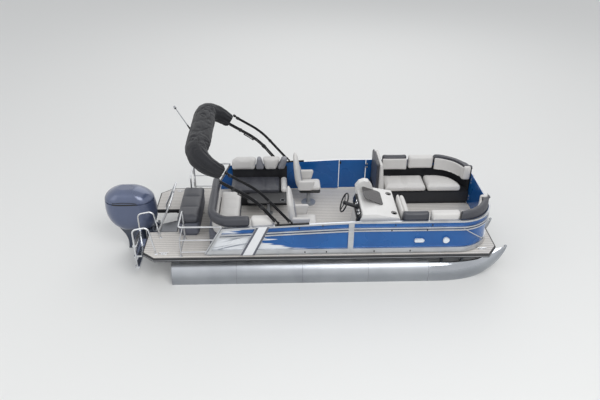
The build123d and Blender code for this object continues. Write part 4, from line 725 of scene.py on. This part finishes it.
# Chairs: seat, tall back with a grey insert, arms. Heights are over the deck, and rings are sections up the back.
chairs = {"helm_chair": (-0.32, -0.74), "companion_chair": (-0.16, 0.64)}
chairSize = {"seat": (-0.17, 0.25, 0.197), "seatZ": (deckTop + 0.37, deckTop + 0.49), "foot": 0.428, "tall": 0.695,
             "rings": 16, "insertFoot": 0.50, "insertTall": 0.33, "insertHalf": 0.15, "insertRings": 10,
             "arm": (0.203, 0.265), "armPlan": [(-0.24, 0.42), (0.07, 0.42), (0.13, 0.665), (-0.24, 0.665)]}
# columns: reach behind the seat's middle, height over the deck, width, thickness
chairBack = [(-0.190, 0.420, 0.440, 0.110), (-0.225, 0.640, 0.500, 0.130), (-0.262, 0.900, 0.480, 0.120),
             (-0.292, 1.130, 0.380, 0.070)]


def backSection(height):  # reach, width and thickness of a chair's back at one height
    for low, high in zip(chairBack, chairBack[1:]):
        if height <= high[1]:
            share = (height - low[1]) / (high[1] - low[1])
            return [low[k] + (high[k] - low[k]) * share for k in (0, 2, 3)]


def slab(xLow, xHigh, yLow, yHigh, corner, z):
    return [(u, v, z) for u, v in roundPlan(rectangle(xLow, xHigh, yLow, yHigh), corner)]


for chair, (x, y) in chairs.items():
    aft, fore, half = chairSize["seat"]
    addPad(chair + "_seat", boxForm(x + aft, x + fore, y - half, y + half, 0.07, *chairSize["seatZ"]), "pale vinyl",
           chair, [("y", y - 0.1), ("y", y + 0.1)], body=chair, voxel=0.016, under=True)
    rows, last = [], chairSize["rings"]
    for k in range(last + 1):
        height = chairSize["foot"] + chairSize["tall"] * k / last
        reach, width, thick = backSection(height)
        trim = 0.008 + thick * {0: 0.22, 1: 0.08}.get(min(k, last - k), 0)  # drawn in at the top and the foot
        middle = x + reach
        rows.append(slab(middle - thick / 2 + trim, middle + thick / 2 - trim, y - width / 2 + trim,
                         y + width / 2 - trim, (thick / 2 - trim) * 0.9, deckTop + height))
    addPad(chair + "_back", skinRows(rows), "pale vinyl", chair, [("z", deckTop + 0.87)], (0.008, 0.008, 0.006),
           body=chair, voxel=0.018)
    rows, last = [], chairSize["insertRings"]
    for k in range(last + 1):
        height, end = chairSize["insertFoot"] + chairSize["insertTall"] * k / last, k in (0, last)
        reach, width, thick = backSection(height)
        face = x + reach + thick / 2 - 0.02
        half = (chairSize["insertHalf"] + 0.014 * sin(pi * k / last)) * (0.93 if end else 1)
        rows.append(slab(face, face + (0.02 if end else 0.03), y - half, y + half, 0.009, deckTop + height))
    addPad(chair + "_insert", skinRows(rows), "grey vinyl", chair, [("z", deckTop + 0.61), ("z", deckTop + 0.72)],
           (0.010, 0.002, 0.002), body=chair, voxel=0.012)
    outline = [(x + ahead, deckTop + height) for ahead, height in chairSize["armPlan"]]
    for word, side in sides.items():
        armY = sorted(y + side * out for out in chairSize["arm"])
        addPad(chair + "_arm_" + word, padForm(outline, [0.05, 0.06, 0.05, 0.05], *armY, 0.024, 0.003, upright=True),
               "pale vinyl", chair, (), (0.003, 0.004, 0.003), body=chair, voxel=0.014)
print("chairs formed")

# Canvas boot round the folded canopy: an arch leaning aft, drawn in with gathers at its two feet.
# The path is given across the boat and along the slope, and each section by its half widths.
boot = {"foot": Vector((-1.750, 0.0, 2.3246)), "slope": radians(32), "half": 1.115, "rise": 0.54, "bend": 0.32,
        "sections": [(0, 0.150, 0.120), (0.14, 0.185, 0.175), (0.3, 0.2, 0.228), (0.7, 0.2, 0.228),
                     (0.86, 0.185, 0.175), (1, 0.150, 0.120)], "rings": 150, "sides": 72, "square": 2.6,
        "inset": 0.010, "gather": 0.021, "crease": 0.022, "tuck": 0.027, "bends": (0.26, 0.74)}
folds = {"gather": 0.015, "gathers": 11, "ripple": 0.013, "ripples": 150, "slack": 0.013, "slacks": 4}
slopeAlong = Vector((-cos(boot["slope"]), 0, sin(boot["slope"])))
slopeAcross = Vector((sin(boot["slope"]), 0, cos(boot["slope"])))


def bootPath():  # evenly spaced points, each with its share of the length
    fine = densify(bendPath([(-boot["half"], 0), (-boot["half"], boot["rise"]), (boot["half"], boot["rise"]),
                             (boot["half"], 0)], boot["bend"], 12), 0.01)
    lengths = [0.0]
    for a, b in zip(fine, fine[1:]):
        lengths.append(lengths[-1] + (Vector(b) - Vector(a)).length)
    return fine, [value / lengths[-1] for value in lengths]


def bootSize(share):
    for low, high in zip(boot["sections"], boot["sections"][1:]):
        if share <= high[0]:
            t = (share - low[0]) / (high[0] - low[0])
            t = t * t * (3 - 2 * t) if low[0] in (0.14, 0.7) else t
            return low[1] + (high[1] - low[1]) * t, low[2] + (high[2] - low[2]) * t


def nearBend(share, reach):  # 1 at a bend, falling to 0 at this reach from it
    return max(0.0, 1 - min(abs(share - place) for place in boot["bends"]) / reach)


def bootForm():
    fine, shares = bootPath()
    rows, at = [], 0
    for r in range(boot["rings"] + 1):
        share = r / boot["rings"]
        while at < len(shares) - 2 and shares[at + 1] < share:
            at += 1
        a, b = Vector(fine[at]), Vector(fine[at + 1])
        t = (share - shares[at]) / max(1e-9, shares[at + 1] - shares[at])
        here, heading = a.lerp(b, min(1, t)), (b - a).normalized()
        centre = boot["foot"] + Vector((0, here.x, 0)) + slopeAlong * here.y
        out = Vector((0, -heading.y, 0)) + slopeAlong * heading.x
        across, wide = bootSize(share)
        end = min(share, 1 - share)
        gathered = boot["gather"] * max(0.0, 1 - end / 0.16)
        size = 1 - 0.10 * max(0.0, 1 - end / 0.02) ** 2  # drawn in at the very ends
        row = []
        for k in range(boot["sides"]):
            turn = 2 * pi * k / boot["sides"]
            c, s = cos(turn), sin(turn)
            shape = (abs(c) ** boot["square"] + abs(s) ** boot["square"]) ** (-1 / boot["square"]) * size
            pleats = gathered * (sin(turn * 13 + 3 * noise.noise((share * 30, k * 0.1, 1))) - 0.8)
            sway = noise.noise((c * 2.2 + share * 9, s * 2.2 - share * 5, 4.0)) * 1.4
            crease = boot["crease"] * max(0.0, sin(turn * 5 + share * 34 + sway * 4)) ** 3 * (0.4 + abs(sway))
            tuck = boot["tuck"] * nearBend(share, 0.09) * (0.5 + 0.5 * sin(share * 230 + sway * 2)) * max(0.0, 0.3 - s)
            lift = pleats - crease - tuck - boot["inset"]
            row.append(centre + slopeAcross * (shape * c * across + c * lift) + out * (shape * s * wide + s * lift))
        rows.append(row)
    return skinRows(rows)


def foldBoot():  # drawn in with gathers at the feet, rippled round each bend, slack along the top
    mesh = bpy.data.objects["canopy_boot"].data
    fine, shares = bootPath()
    finder = KDTree(len(fine))
    for i, point in enumerate(fine):
        finder.insert((*point, 0), i)
    finder.balance()
    normals = [v.normal.copy() for v in mesh.vertices]
    for vertex, normal in zip(mesh.vertices, normals):
        away = vertex.co - boot["foot"]
        flat = Vector((away.y, away.dot(slopeAlong), 0))
        spot, i, distance = finder.find(flat)
        share = shares[i]
        heading = (Vector(fine[min(i + 1, len(fine) - 1)]) - Vector(fine[max(i - 1, 0)])).normalized()
        across, wide = bootSize(share)
        out = (flat - spot).dot(Vector((-heading.y, heading.x, 0))) / wide
        turn = atan2(out, away.dot(slopeAcross) / across)
        sway = noise.noise((share * 12, cos(turn) * 1.5, sin(turn) * 1.5 + 7))
        foot = max(0.0, 1 - min(share, 1 - share) / 0.22) ** 0.6
        gather = foot * (0.5 + 0.5 * sin(turn * folds["gathers"] + 3.5 * sway))
        ripple = sin(share * folds["ripples"] + turn * 1.6 + 5 * sway)
        ripple = nearBend(share, 0.13) * max(0.0, ripple) * (0.65 - 0.35 * out)
        pole = min(1.0, abs(away.y) / 0.16)  # the light pole stands at the middle, where the cloth is taut
        slack = (1 - foot) * pole * max(0.0, sin(turn * folds["slacks"] + share * 16 + 6 * sway)) ** 3
        vertex.co -= normal * (folds["gather"] * gather + folds["ripple"] * ripple + folds["slack"] * slack)
    mesh.update()


addPad("canopy_boot", bootForm(), "acrylic canvas", "bimini_boot", (), (0.007,) * 3, body="bimini", voxel=0.021,
       fill=0.35, smoothing=1)
print("canopy boot formed")
swellPads()
finishPads()
foldBoot()
print("pads finished,", len(pads), "pieces,", sum(len(pad["piece"].data.polygons) for pad in pads), "faces")

# Black boards under the bolsters, partly painted shade standing for the shaded gap below the pads; a black board
# behind the chaise, and white welt inside the bench corner
for word, side in sides.items():
    start = bow["start"][word] + leans[word]["rollStart"] + 0.002
    outer, inner = (bowPath(side, bow["outset"] + inset, start, 0.62) for inset in (0.002, 0.014))
    addParts("bolster_shade_board_" + word, [plate(outer + inner[::-1], backLow, bow["padLow"] + 0.02)], "black panel")
addParts("chaise_board", [plate(rectangle(-1.775, -0.605, 1.165, 1.183), backLow, 1.24)], "black panel")
welt = [(x, y, bench["rollLow"] + 0.012) for x, y in benchPath(bench["thick"] - 0.002)]
addParts("bench_welt", [tubeAlong(welt, 0.005)], "pale vinyl")

# Rub rail: a pale insert lies in the black extrusion all round the deck
railInsert = {"half": (3.34, 1.295), "sternCut": (0.24, 0.20), "bowCut": (0.19, 0.255), "well": 0.40, "z": 0.603,
              "height": 0.006, "proud": 0.0015, "deep": 0.004}


def railLine(out):  # the edge of the deck moved out, starboard half first
    trim = out * 0.414  # a 45 degree corner moves along its edges by this much
    xEnd, yEnd = (value + out for value in railInsert["half"])
    sternX, sternY = (value - trim for value in railInsert["sternCut"])
    bowX, bowY = (value - trim for value in railInsert["bowCut"])
    half = [(-xEnd, -railInsert["well"]), (-xEnd, -yEnd + sternY), (-xEnd + sternX, -yEnd), (xEnd - bowX, -yEnd),
            (xEnd, -yEnd + bowY)]
    return half + [(x, -y) for x, y in reversed(half)]


line = railLine(railInsert["proud"]) + railLine(-railInsert["deep"])[::-1]
low, high = railInsert["z"] - railInsert["height"], railInsert["z"] + railInsert["height"]
addParts("rub_rail_insert", [plate(line, low, high, 0.001)], "rub rail insert")

# Fence fittings: dark clips on the rails, chrome rims round the lamps, and a bar across each bow corner
clip = {"face": 1.2345, "proud": 0.008, "half": (0.011, 0.016), "places": [
    (1.332, 0.634), (2.007, 0.634), (1.270, 0.526), (1.922, 0.526), (0.975, 0.065), (1.651, 0.065), (0.087, 0.065),
    (-0.312, 0.065), (0.007, 0.640), (-0.42, 0.600)]}  # along the boat, and over the deck
cornerBar = {"centre": (2.54, 0.535), "reach": 0.705, "from": 4.5, "swing": 43, "high": 0.55, "fall": 0.38}
lampY = 1.2395
clips, lampRims, bars, studs = [], [], [], []
for side in sides.values():
    yLow, yHigh = span(side, clip["face"], clip["face"] + clip["proud"])
    for x, z in clip["places"]:
        low, high = ((x + way * clip["half"][0], y, deckTop + z + way * clip["half"][1])
                     for way, y in ((-1, yLow), (1, yHigh)))
        clips.append(block(low, high, 0.003))
    lampRims.append(ringAt((2.3, side * lampY, 0.94), (0, 1, 0), 0.058, 0.006))
    oval = roundPlan(rectangle(1.71, 1.89, 0.905, 0.975), 0.034)
    lampRims.append(tubeAlong([(x, side * lampY, z) for x, z in oval], 0.005, closed=True))
    arc = []
    for k in range(15):
        turn = radians(cornerBar["from"] + cornerBar["swing"] * k / 14)
        arc.append((cornerBar["centre"][0] + cornerBar["reach"] * sin(turn),
                    side * (cornerBar["centre"][1] + cornerBar["reach"] * cos(turn)),
                    deckTop + cornerBar["high"] - cornerBar["fall"] * k / 14))
    bars.append(tubeAlong(arc, 0.009))
    studs.append(turned(arc[-1], (sin(turn), side * cos(turn), 0),
                        [(0.012, -0.004), (0.016, 0.0), (0.016, 0.006), (0.010, 0.010)], 20))
addParts("fence_clips", clips)
addParts("lamp_rims", lampRims, "chrome trim")
addParts("bow_corner_bars", bars, "anodised aluminium")
addParts("bow_corner_studs", studs)

# Tubes: a weld bead at each joint of the rolled sections and round the tail, and a drain plug
tube = {"radius": 0.3175, "z": 0.13, "places": (0.96, 0, -0.96), "aft": -2.82, "welds": (-1.6, -0.35, 0.9, 2.05)}
beads = [ringAt((x, y, tube["z"]), (1, 0, 0), tube["radius"] - 0.0005, 0.0035, 56)
         for y in tube["places"] for x in tube["welds"] + (tube["aft"] + 0.006,)]
addParts("tube_welds", beads, "cast aluminium with painted shade", smooth=60)
plugs = [turned((tube["aft"] - 0.001, y, tube["z"] - 0.17), (-1, 0, 0),
                [(0.028, -0.004), (0.028, 0.004), (0.016, 0.006), (0.014, 0.014), (0.008, 0.016)])
         for y in tube["places"]]
addParts("tube_drain_plugs", plugs, "cast aluminium with painted shade")


def landing(node, start, way):  # where a line from a point first meets a CAD surface, and its normal there
    return cad[node].ray_cast(Vector(start), Vector(way))[1:3]


# Cup holders: rims in the table, and rims that follow the console's slope with wells under them
cups = {"table": ((-0.71, 0.14), (-1.29, 0.14)), "tableTop": 1.0135, "tableRadius": 0.044,
        "console": ((1.33, -0.30), (1.33, -0.99)), "consoleRadius": 0.050, "wellFoot": 1.3505}
r = cups["tableRadius"]
rims = [turned((x, y, cups["tableTop"]), (0, 0, 1), [(r - 0.002, 0.0), (r + 0.007, 0.0), (r + 0.006, 0.003),
                                                     (r - 0.001, 0.003), (r - 0.002, 0.0)], 32)
        for x, y in cups["table"]]
addParts("table_cup_rims", rims, "cast aluminium with painted shade")
rims, wells, r = [], [], cups["consoleRadius"]
turns = [2 * pi * k / 32 for k in range(32)]
for x, y in cups["console"]:
    ring = [landing("helm_console", (x + r * cos(turn), y + r * sin(turn), 2.0), (0, 0, -1))[0] for turn in turns]
    rims.append(tubeAlong([spot + Vector((0, 0, 0.001)) for spot in ring], 0.0055, closed=True))
    wells.append(turned((x, y, cups["wellFoot"]), (0, 0, 1), [(0.002, 0), (0.041, 0), (0.041, 0.030), (0.039, 0.030),
                                                              (0.037, 0.003), (0.002, 0.003)], 28))
addParts("console_cup_rims", rims)
addParts("console_cup_wells", wells)

# Dash: round gauges, a chart screen and rocker switches on the black panel
dash = {"middle": (0.690, -0.690, 1.350), "panel": 0.0155, "gauges": (-0.275, -0.175, 0.075, 0.175),
        "gaugeRadius": 0.040, "gaugeRise": 0.025, "switches": (-0.300, -0.258, -0.216, 0.216, 0.258, 0.300),
        "switchRise": -0.052, "screenHalf": (0.10, 0.060), "screenPlace": (0.275, 0.012)}
up, normal, across = Vector((0.3644, 0, 0.93124)), Vector((-0.93124, 0, 0.3644)), Vector((0, 1, 0))
face = Vector(dash["middle"]) + normal * dash["panel"]


def onDash(form, right, rise, out=0.0):  # a form made flat, set on the sloped panel
    spot = face + across * right + up * rise + normal * out
    return [spot + across * p[0] + up * p[1] + normal * p[2] for p in form[0]], form[1]


def dashBlock(wide, tall, low, high, edge):
    return block((-wide, -tall, low), (wide, tall, high), edge)


bezels, dials, needles = [], [], []
for place in dash["gauges"]:
    spot, r = face + across * place + up * dash["gaugeRise"], dash["gaugeRadius"]
    bezels.append(turned(spot, normal, [(r + 0.004, 0), (r + 0.003, 0.007), (r - 0.003, 0.008), (r - 0.005, 0.002)],
                         32))
    dials.append(turned(spot, normal, [(r - 0.004, 0.0005), (r - 0.004, 0.003)], 32))
    needles.append(onDash(block((-0.0015, -0.004, 0), (0.0015, 0.026, 0.001), 0.0007), place, dash["gaugeRise"],
                          0.004))
switches = [onDash(dashBlock(0.013, 0.019, 0, 0.007, 0.004), place, dash["switchRise"]) for place in dash["switches"]]
wide, tall = dash["screenHalf"]
case = onDash(dashBlock(wide, tall, 0, 0.012, 0.012), *dash["screenPlace"])
glass = onDash(dashBlock(wide - 0.012, tall - 0.012, 0.0118, 0.0135, 0.003), *dash["screenPlace"])
addParts("gauge_bezels", bezels, "chrome trim")
addParts("gauge_dials", dials, "dial face")
addParts("gauge_needles", needles, "red lens")
addParts("dash_switches", switches)
addParts("dash_screen_case", [case], "black plastic")
addParts("dash_screen_glass", [glass], "dial face")

# Gates: a latch at the free edge of each
for name, body, (x, y, z) in (("gate_latches", "side_gate", (0.545, 1.2, 1.30)),
                              ("bow_gate_latch", "bow_gate", (3.2, -0.445, 1.30))):
    latch = block((x - 0.018, y - 0.018, z - 0.03), (x + 0.018, y + 0.012, z + 0.03), 0.006)
    addParts(name, [latch], body=body)

# Bimini: a second tube lies beside each main leg and brace, with collars where they are pinned
twin = {"radius": 0.0145, "gap": 0.033, "collar": 0.024, "brace": 0.0115, "braceGap": 0.027, "y": 1.219, "bend": 1.5}


def legTo(foot, head, straight):  # a leg's corners: its foot, its bend and its head in the boot
    knee = head - slopeAlong * straight
    return [foot, (knee.x, knee.z), (head.x, head.z)]


def legLine(leg, side, offset, start, end):  # points along a bent leg between two shares, set off to one side
    line = densify(bendPath(leg, twin["bend"], 14), 0.02)
    first, last = int(start * (len(line) - 1)), int(end * (len(line) - 1))
    points = []
    for i in range(first, last + 1):
        ahead = Vector(line[min(i + 1, len(line) - 1)]) - Vector(line[max(i - 1, 0)])
        ahead.normalize()
        x, z = Vector(line[i]) + Vector((ahead.y, -ahead.x)) * offset
        points.append(Vector((x, side * twin["y"], z)))
    return points


def collarAt(points, radius, inner=0.013):  # a sleeve along a short stretch of a leg
    axis = points[-1] - points[0]
    return turned(points[0], axis, [(inner, 0), (radius, 0.003), (radius, axis.length - 0.003), (inner, axis.length)],
                  18)


mainLeg = legTo((-0.800, 1.3546), boot["foot"] - slopeAcross * 0.1, 0.72)
braceLeg = legTo((-0.556, 1.3548), boot["foot"] + slopeAcross * 0.096 - slopeAlong * 0.03, 0.64)
gap, braceGap = twin["gap"], twin["braceGap"]
bars, collars, braceBars, braceCollars = [], [], [], []
for side in sides.values():
    bars.append(tubeAlong(legLine(mainLeg, side, -gap, 0.06, 0.985), twin["radius"], 12))
    bars.append(tubeAlong(legLine(mainLeg, side, -2 * gap, 0.50, 0.66), 0.010, 10))
    for start in (0.075, 0.36, 0.74):
        for offset in (-gap, 0):
            collars.append(collarAt(legLine(mainLeg, side, offset, start, start + 0.035), twin["collar"]))
    for start in (0.50, 0.64):
        collars.append(collarAt(legLine(mainLeg, side, -1.6 * gap, start, start + 0.02), 0.02))
    braceBars.append(tubeAlong(legLine(braceLeg, side, -braceGap, 0.045, 0.97), twin["brace"], 12))
    for start in (0.04, 0.45, 0.93):
        for offset, radius, inner in ((0, 0.021, 0.013), (-braceGap, 0.019, 0.010)):
            braceCollars.append(collarAt(legLine(braceLeg, side, offset, start, start + 0.035), radius, inner))
addParts("bimini_twin_legs", bars, "black anodised tube", "bimini")
addParts("bimini_collars", collars, body="bimini")
addParts("brace_twin_legs", braceBars, "black anodised tube", "brace_bows")
addParts("brace_collars", braceCollars, body="brace_bows")
print("boards, rails, dash and canopy fittings made")

# Outboard: dark louvres let into the cowl on both sides
louvre = {"from": -4.02, "to": -3.52, "low": 1.184, "high": 1.216, "swell": 0.026, "sunk": 0.004, "proud": 0.0018}
strips = []
for side in sides.values():
    rows = []
    for k in range(25):
        t = k / 24
        x = louvre["from"] + (louvre["to"] - louvre["from"]) * t
        swell = louvre["swell"] * sin(pi * (0.05 + 0.93 * t)) ** 0.7
        (a, outA), (b, outB) = (landing("motor_cowl", (x, side, height), (0, -side, 0))
                                for height in (louvre["low"] - swell * 0.4, louvre["high"] + swell))
        rows.append([a - outA * louvre["sunk"], a + outA * louvre["proud"], b + outB * louvre["proud"],
                     b - outB * louvre["sunk"]])
    strips.append(skinRows(rows))
addParts("cowl_louvres", strips, body="motor", smooth=25)

# Ladder: ribbed black pads on the treads
ladder = {"x": -3.474, "y": -0.88, "half": 0.235, "ribs": 5, "pitch": 0.012, "levels": (0.820, 0.590, 0.362)}
yLow, yHigh = ladder["y"] - ladder["half"], ladder["y"] + ladder["half"]
ribs = []
for level in ladder["levels"]:
    for k in range(ladder["ribs"]):
        x = ladder["x"] + ladder["pitch"] * k
        ribs.append(block((x - 0.004, yLow, level + 0.0118), (x + 0.004, yHigh, level + 0.0155), 0.0018))
addParts("ladder_tread_ribs", ribs)

# Chairs: a black pan and a slide lever under each seat
for chair, (x, y) in chairs.items():
    pan = block((x - 0.20, y - 0.205, deckTop + 0.335), (x + 0.235, y + 0.205, deckTop + 0.375), 0.05)
    lever = tubeAlong([(x + ahead, y + out, deckTop + 0.345)
                       for ahead, out in ((0.12, 0.20), (0.14, 0.235), (0.19, 0.24))], 0.006)
    addParts(chair + "_pan", [pan, lever], "black plastic", chair)

# Light pole: a collar under the lamp, and a socket that stands in the cover with the pole in it
pole = {"foot": Vector((-2.405, 0, 2.6526)), "top": Vector((-2.640, 0, 3.0696)), "lamp": Vector((-2.662, 0, 3.11))}
collar = turned(pole["top"], pole["lamp"] - pole["top"], [(0.0125, -0.012), (0.0212, -0.004), (0.0212, 0.012),
                                                          (0.016, 0.014)])
socket = turned(pole["foot"], pole["top"] - pole["foot"], [(0.006, 0.0), (0.017, 0.004), (0.013, 0.075),
                                                           (0.0118, 0.100), (0.008, 0.101)], 20)
addParts("pole_lamp_collar", [collar], body="bimini")
addParts("pole_socket", [socket], body="bimini")

# Accent panels: a grey band along each raked edge, aft and then fore
accent = {"low": 0.6715, "edges": ((-1.51, -1.20, 1.2785, 1), (-1.24, -0.95, 1.2895, -1)), "face": 1.249,
          "trim": 0.002, "band": 0.04512, "proud": 0.002, "deep": 0.003}
bands = []
for side in sides.values():
    near, far = side * (accent["face"] - accent["deep"]), side * (accent["face"] + accent["proud"])
    for foot, top, high, way in accent["edges"]:
        rows = []
        for x, z in ((foot, accent["low"]), (top, high)):
            edge, wide = x + way * accent["trim"], x + way * accent["band"]
            rows.append([(edge, near, z), (wide, near, z), (wide, far, z), (edge, far, z)])
        bands.append(skinRows(rows))
addParts("accent_bands", bands, "grey panel", smooth=20)
print("outboard, ladder, chair, pole and accent trim made")

# Pale floor at the waterline, soft studio light, and a plain white background that metal and glass also see
studio = {"floorHalf": 60, "floorColour": "e9e9e7", "light": "eef0f3", "strength": 0.72, "aim": (0, 0, 0.8)}
# columns: name, place, width, power in watts
lamps = [("key", (4, -11, 14), 9, 1150), ("fill", (-12, -8, 9), 10, 260), ("back", (2, 13, 12), 12, 420)]


def makeStudio():
    half = studio["floorHalf"]
    mesh = bpy.data.meshes.new("floor")
    mesh.from_pydata([(x, y, 0) for x, y in rectangle(-half, half, -half, half)], [], [(0, 1, 2, 3)])
    floor = bpy.data.objects.new("floor", mesh)
    bpy.context.scene.collection.objects.link(floor)
    newMaterial("floor", {"Roughness": 0.9, "Base Color": linear(studio["floorColour"])})
    paint(floor, "floor")
    bpy.context.scene.world = bpy.data.worlds.new("studio")
    add = emptyTree(bpy.context.scene.world)
    rays = add("LightPath", {}).outputs
    mirrors = add("Math", {"operation": "MAXIMUM", 0: rays["Is Glossy Ray"], 1: rays["Is Transmission Ray"]})
    seen = add("Math", {"operation": "MAXIMUM", 0: rays["Is Camera Ray"], 1: mirrors})
    glow = add("Background", {"Color": linear(studio["light"]), "Strength": studio["strength"]})
    plain = add("Background", {"Color": linear("ffffff"), "Strength": 1.0})
    add("OutputWorld", {"Surface": add("MixShader", {0: seen, 1: glow, 2: plain})})
    for name, place, size, power in lamps:
        light = bpy.data.lights.new(name, "AREA")
        light.size = size
        light.energy = power
        lamp = bpy.data.objects.new(name, light)
        lamp.location = place
        lamp.rotation_euler = (Vector(studio["aim"]) - Vector(place)).to_track_quat("-Z", "Y").to_euler()
        bpy.context.scene.collection.objects.link(lamp)


makeStudio()
bpy.context.scene.view_settings.view_transform = "Standard"
print("studio made")
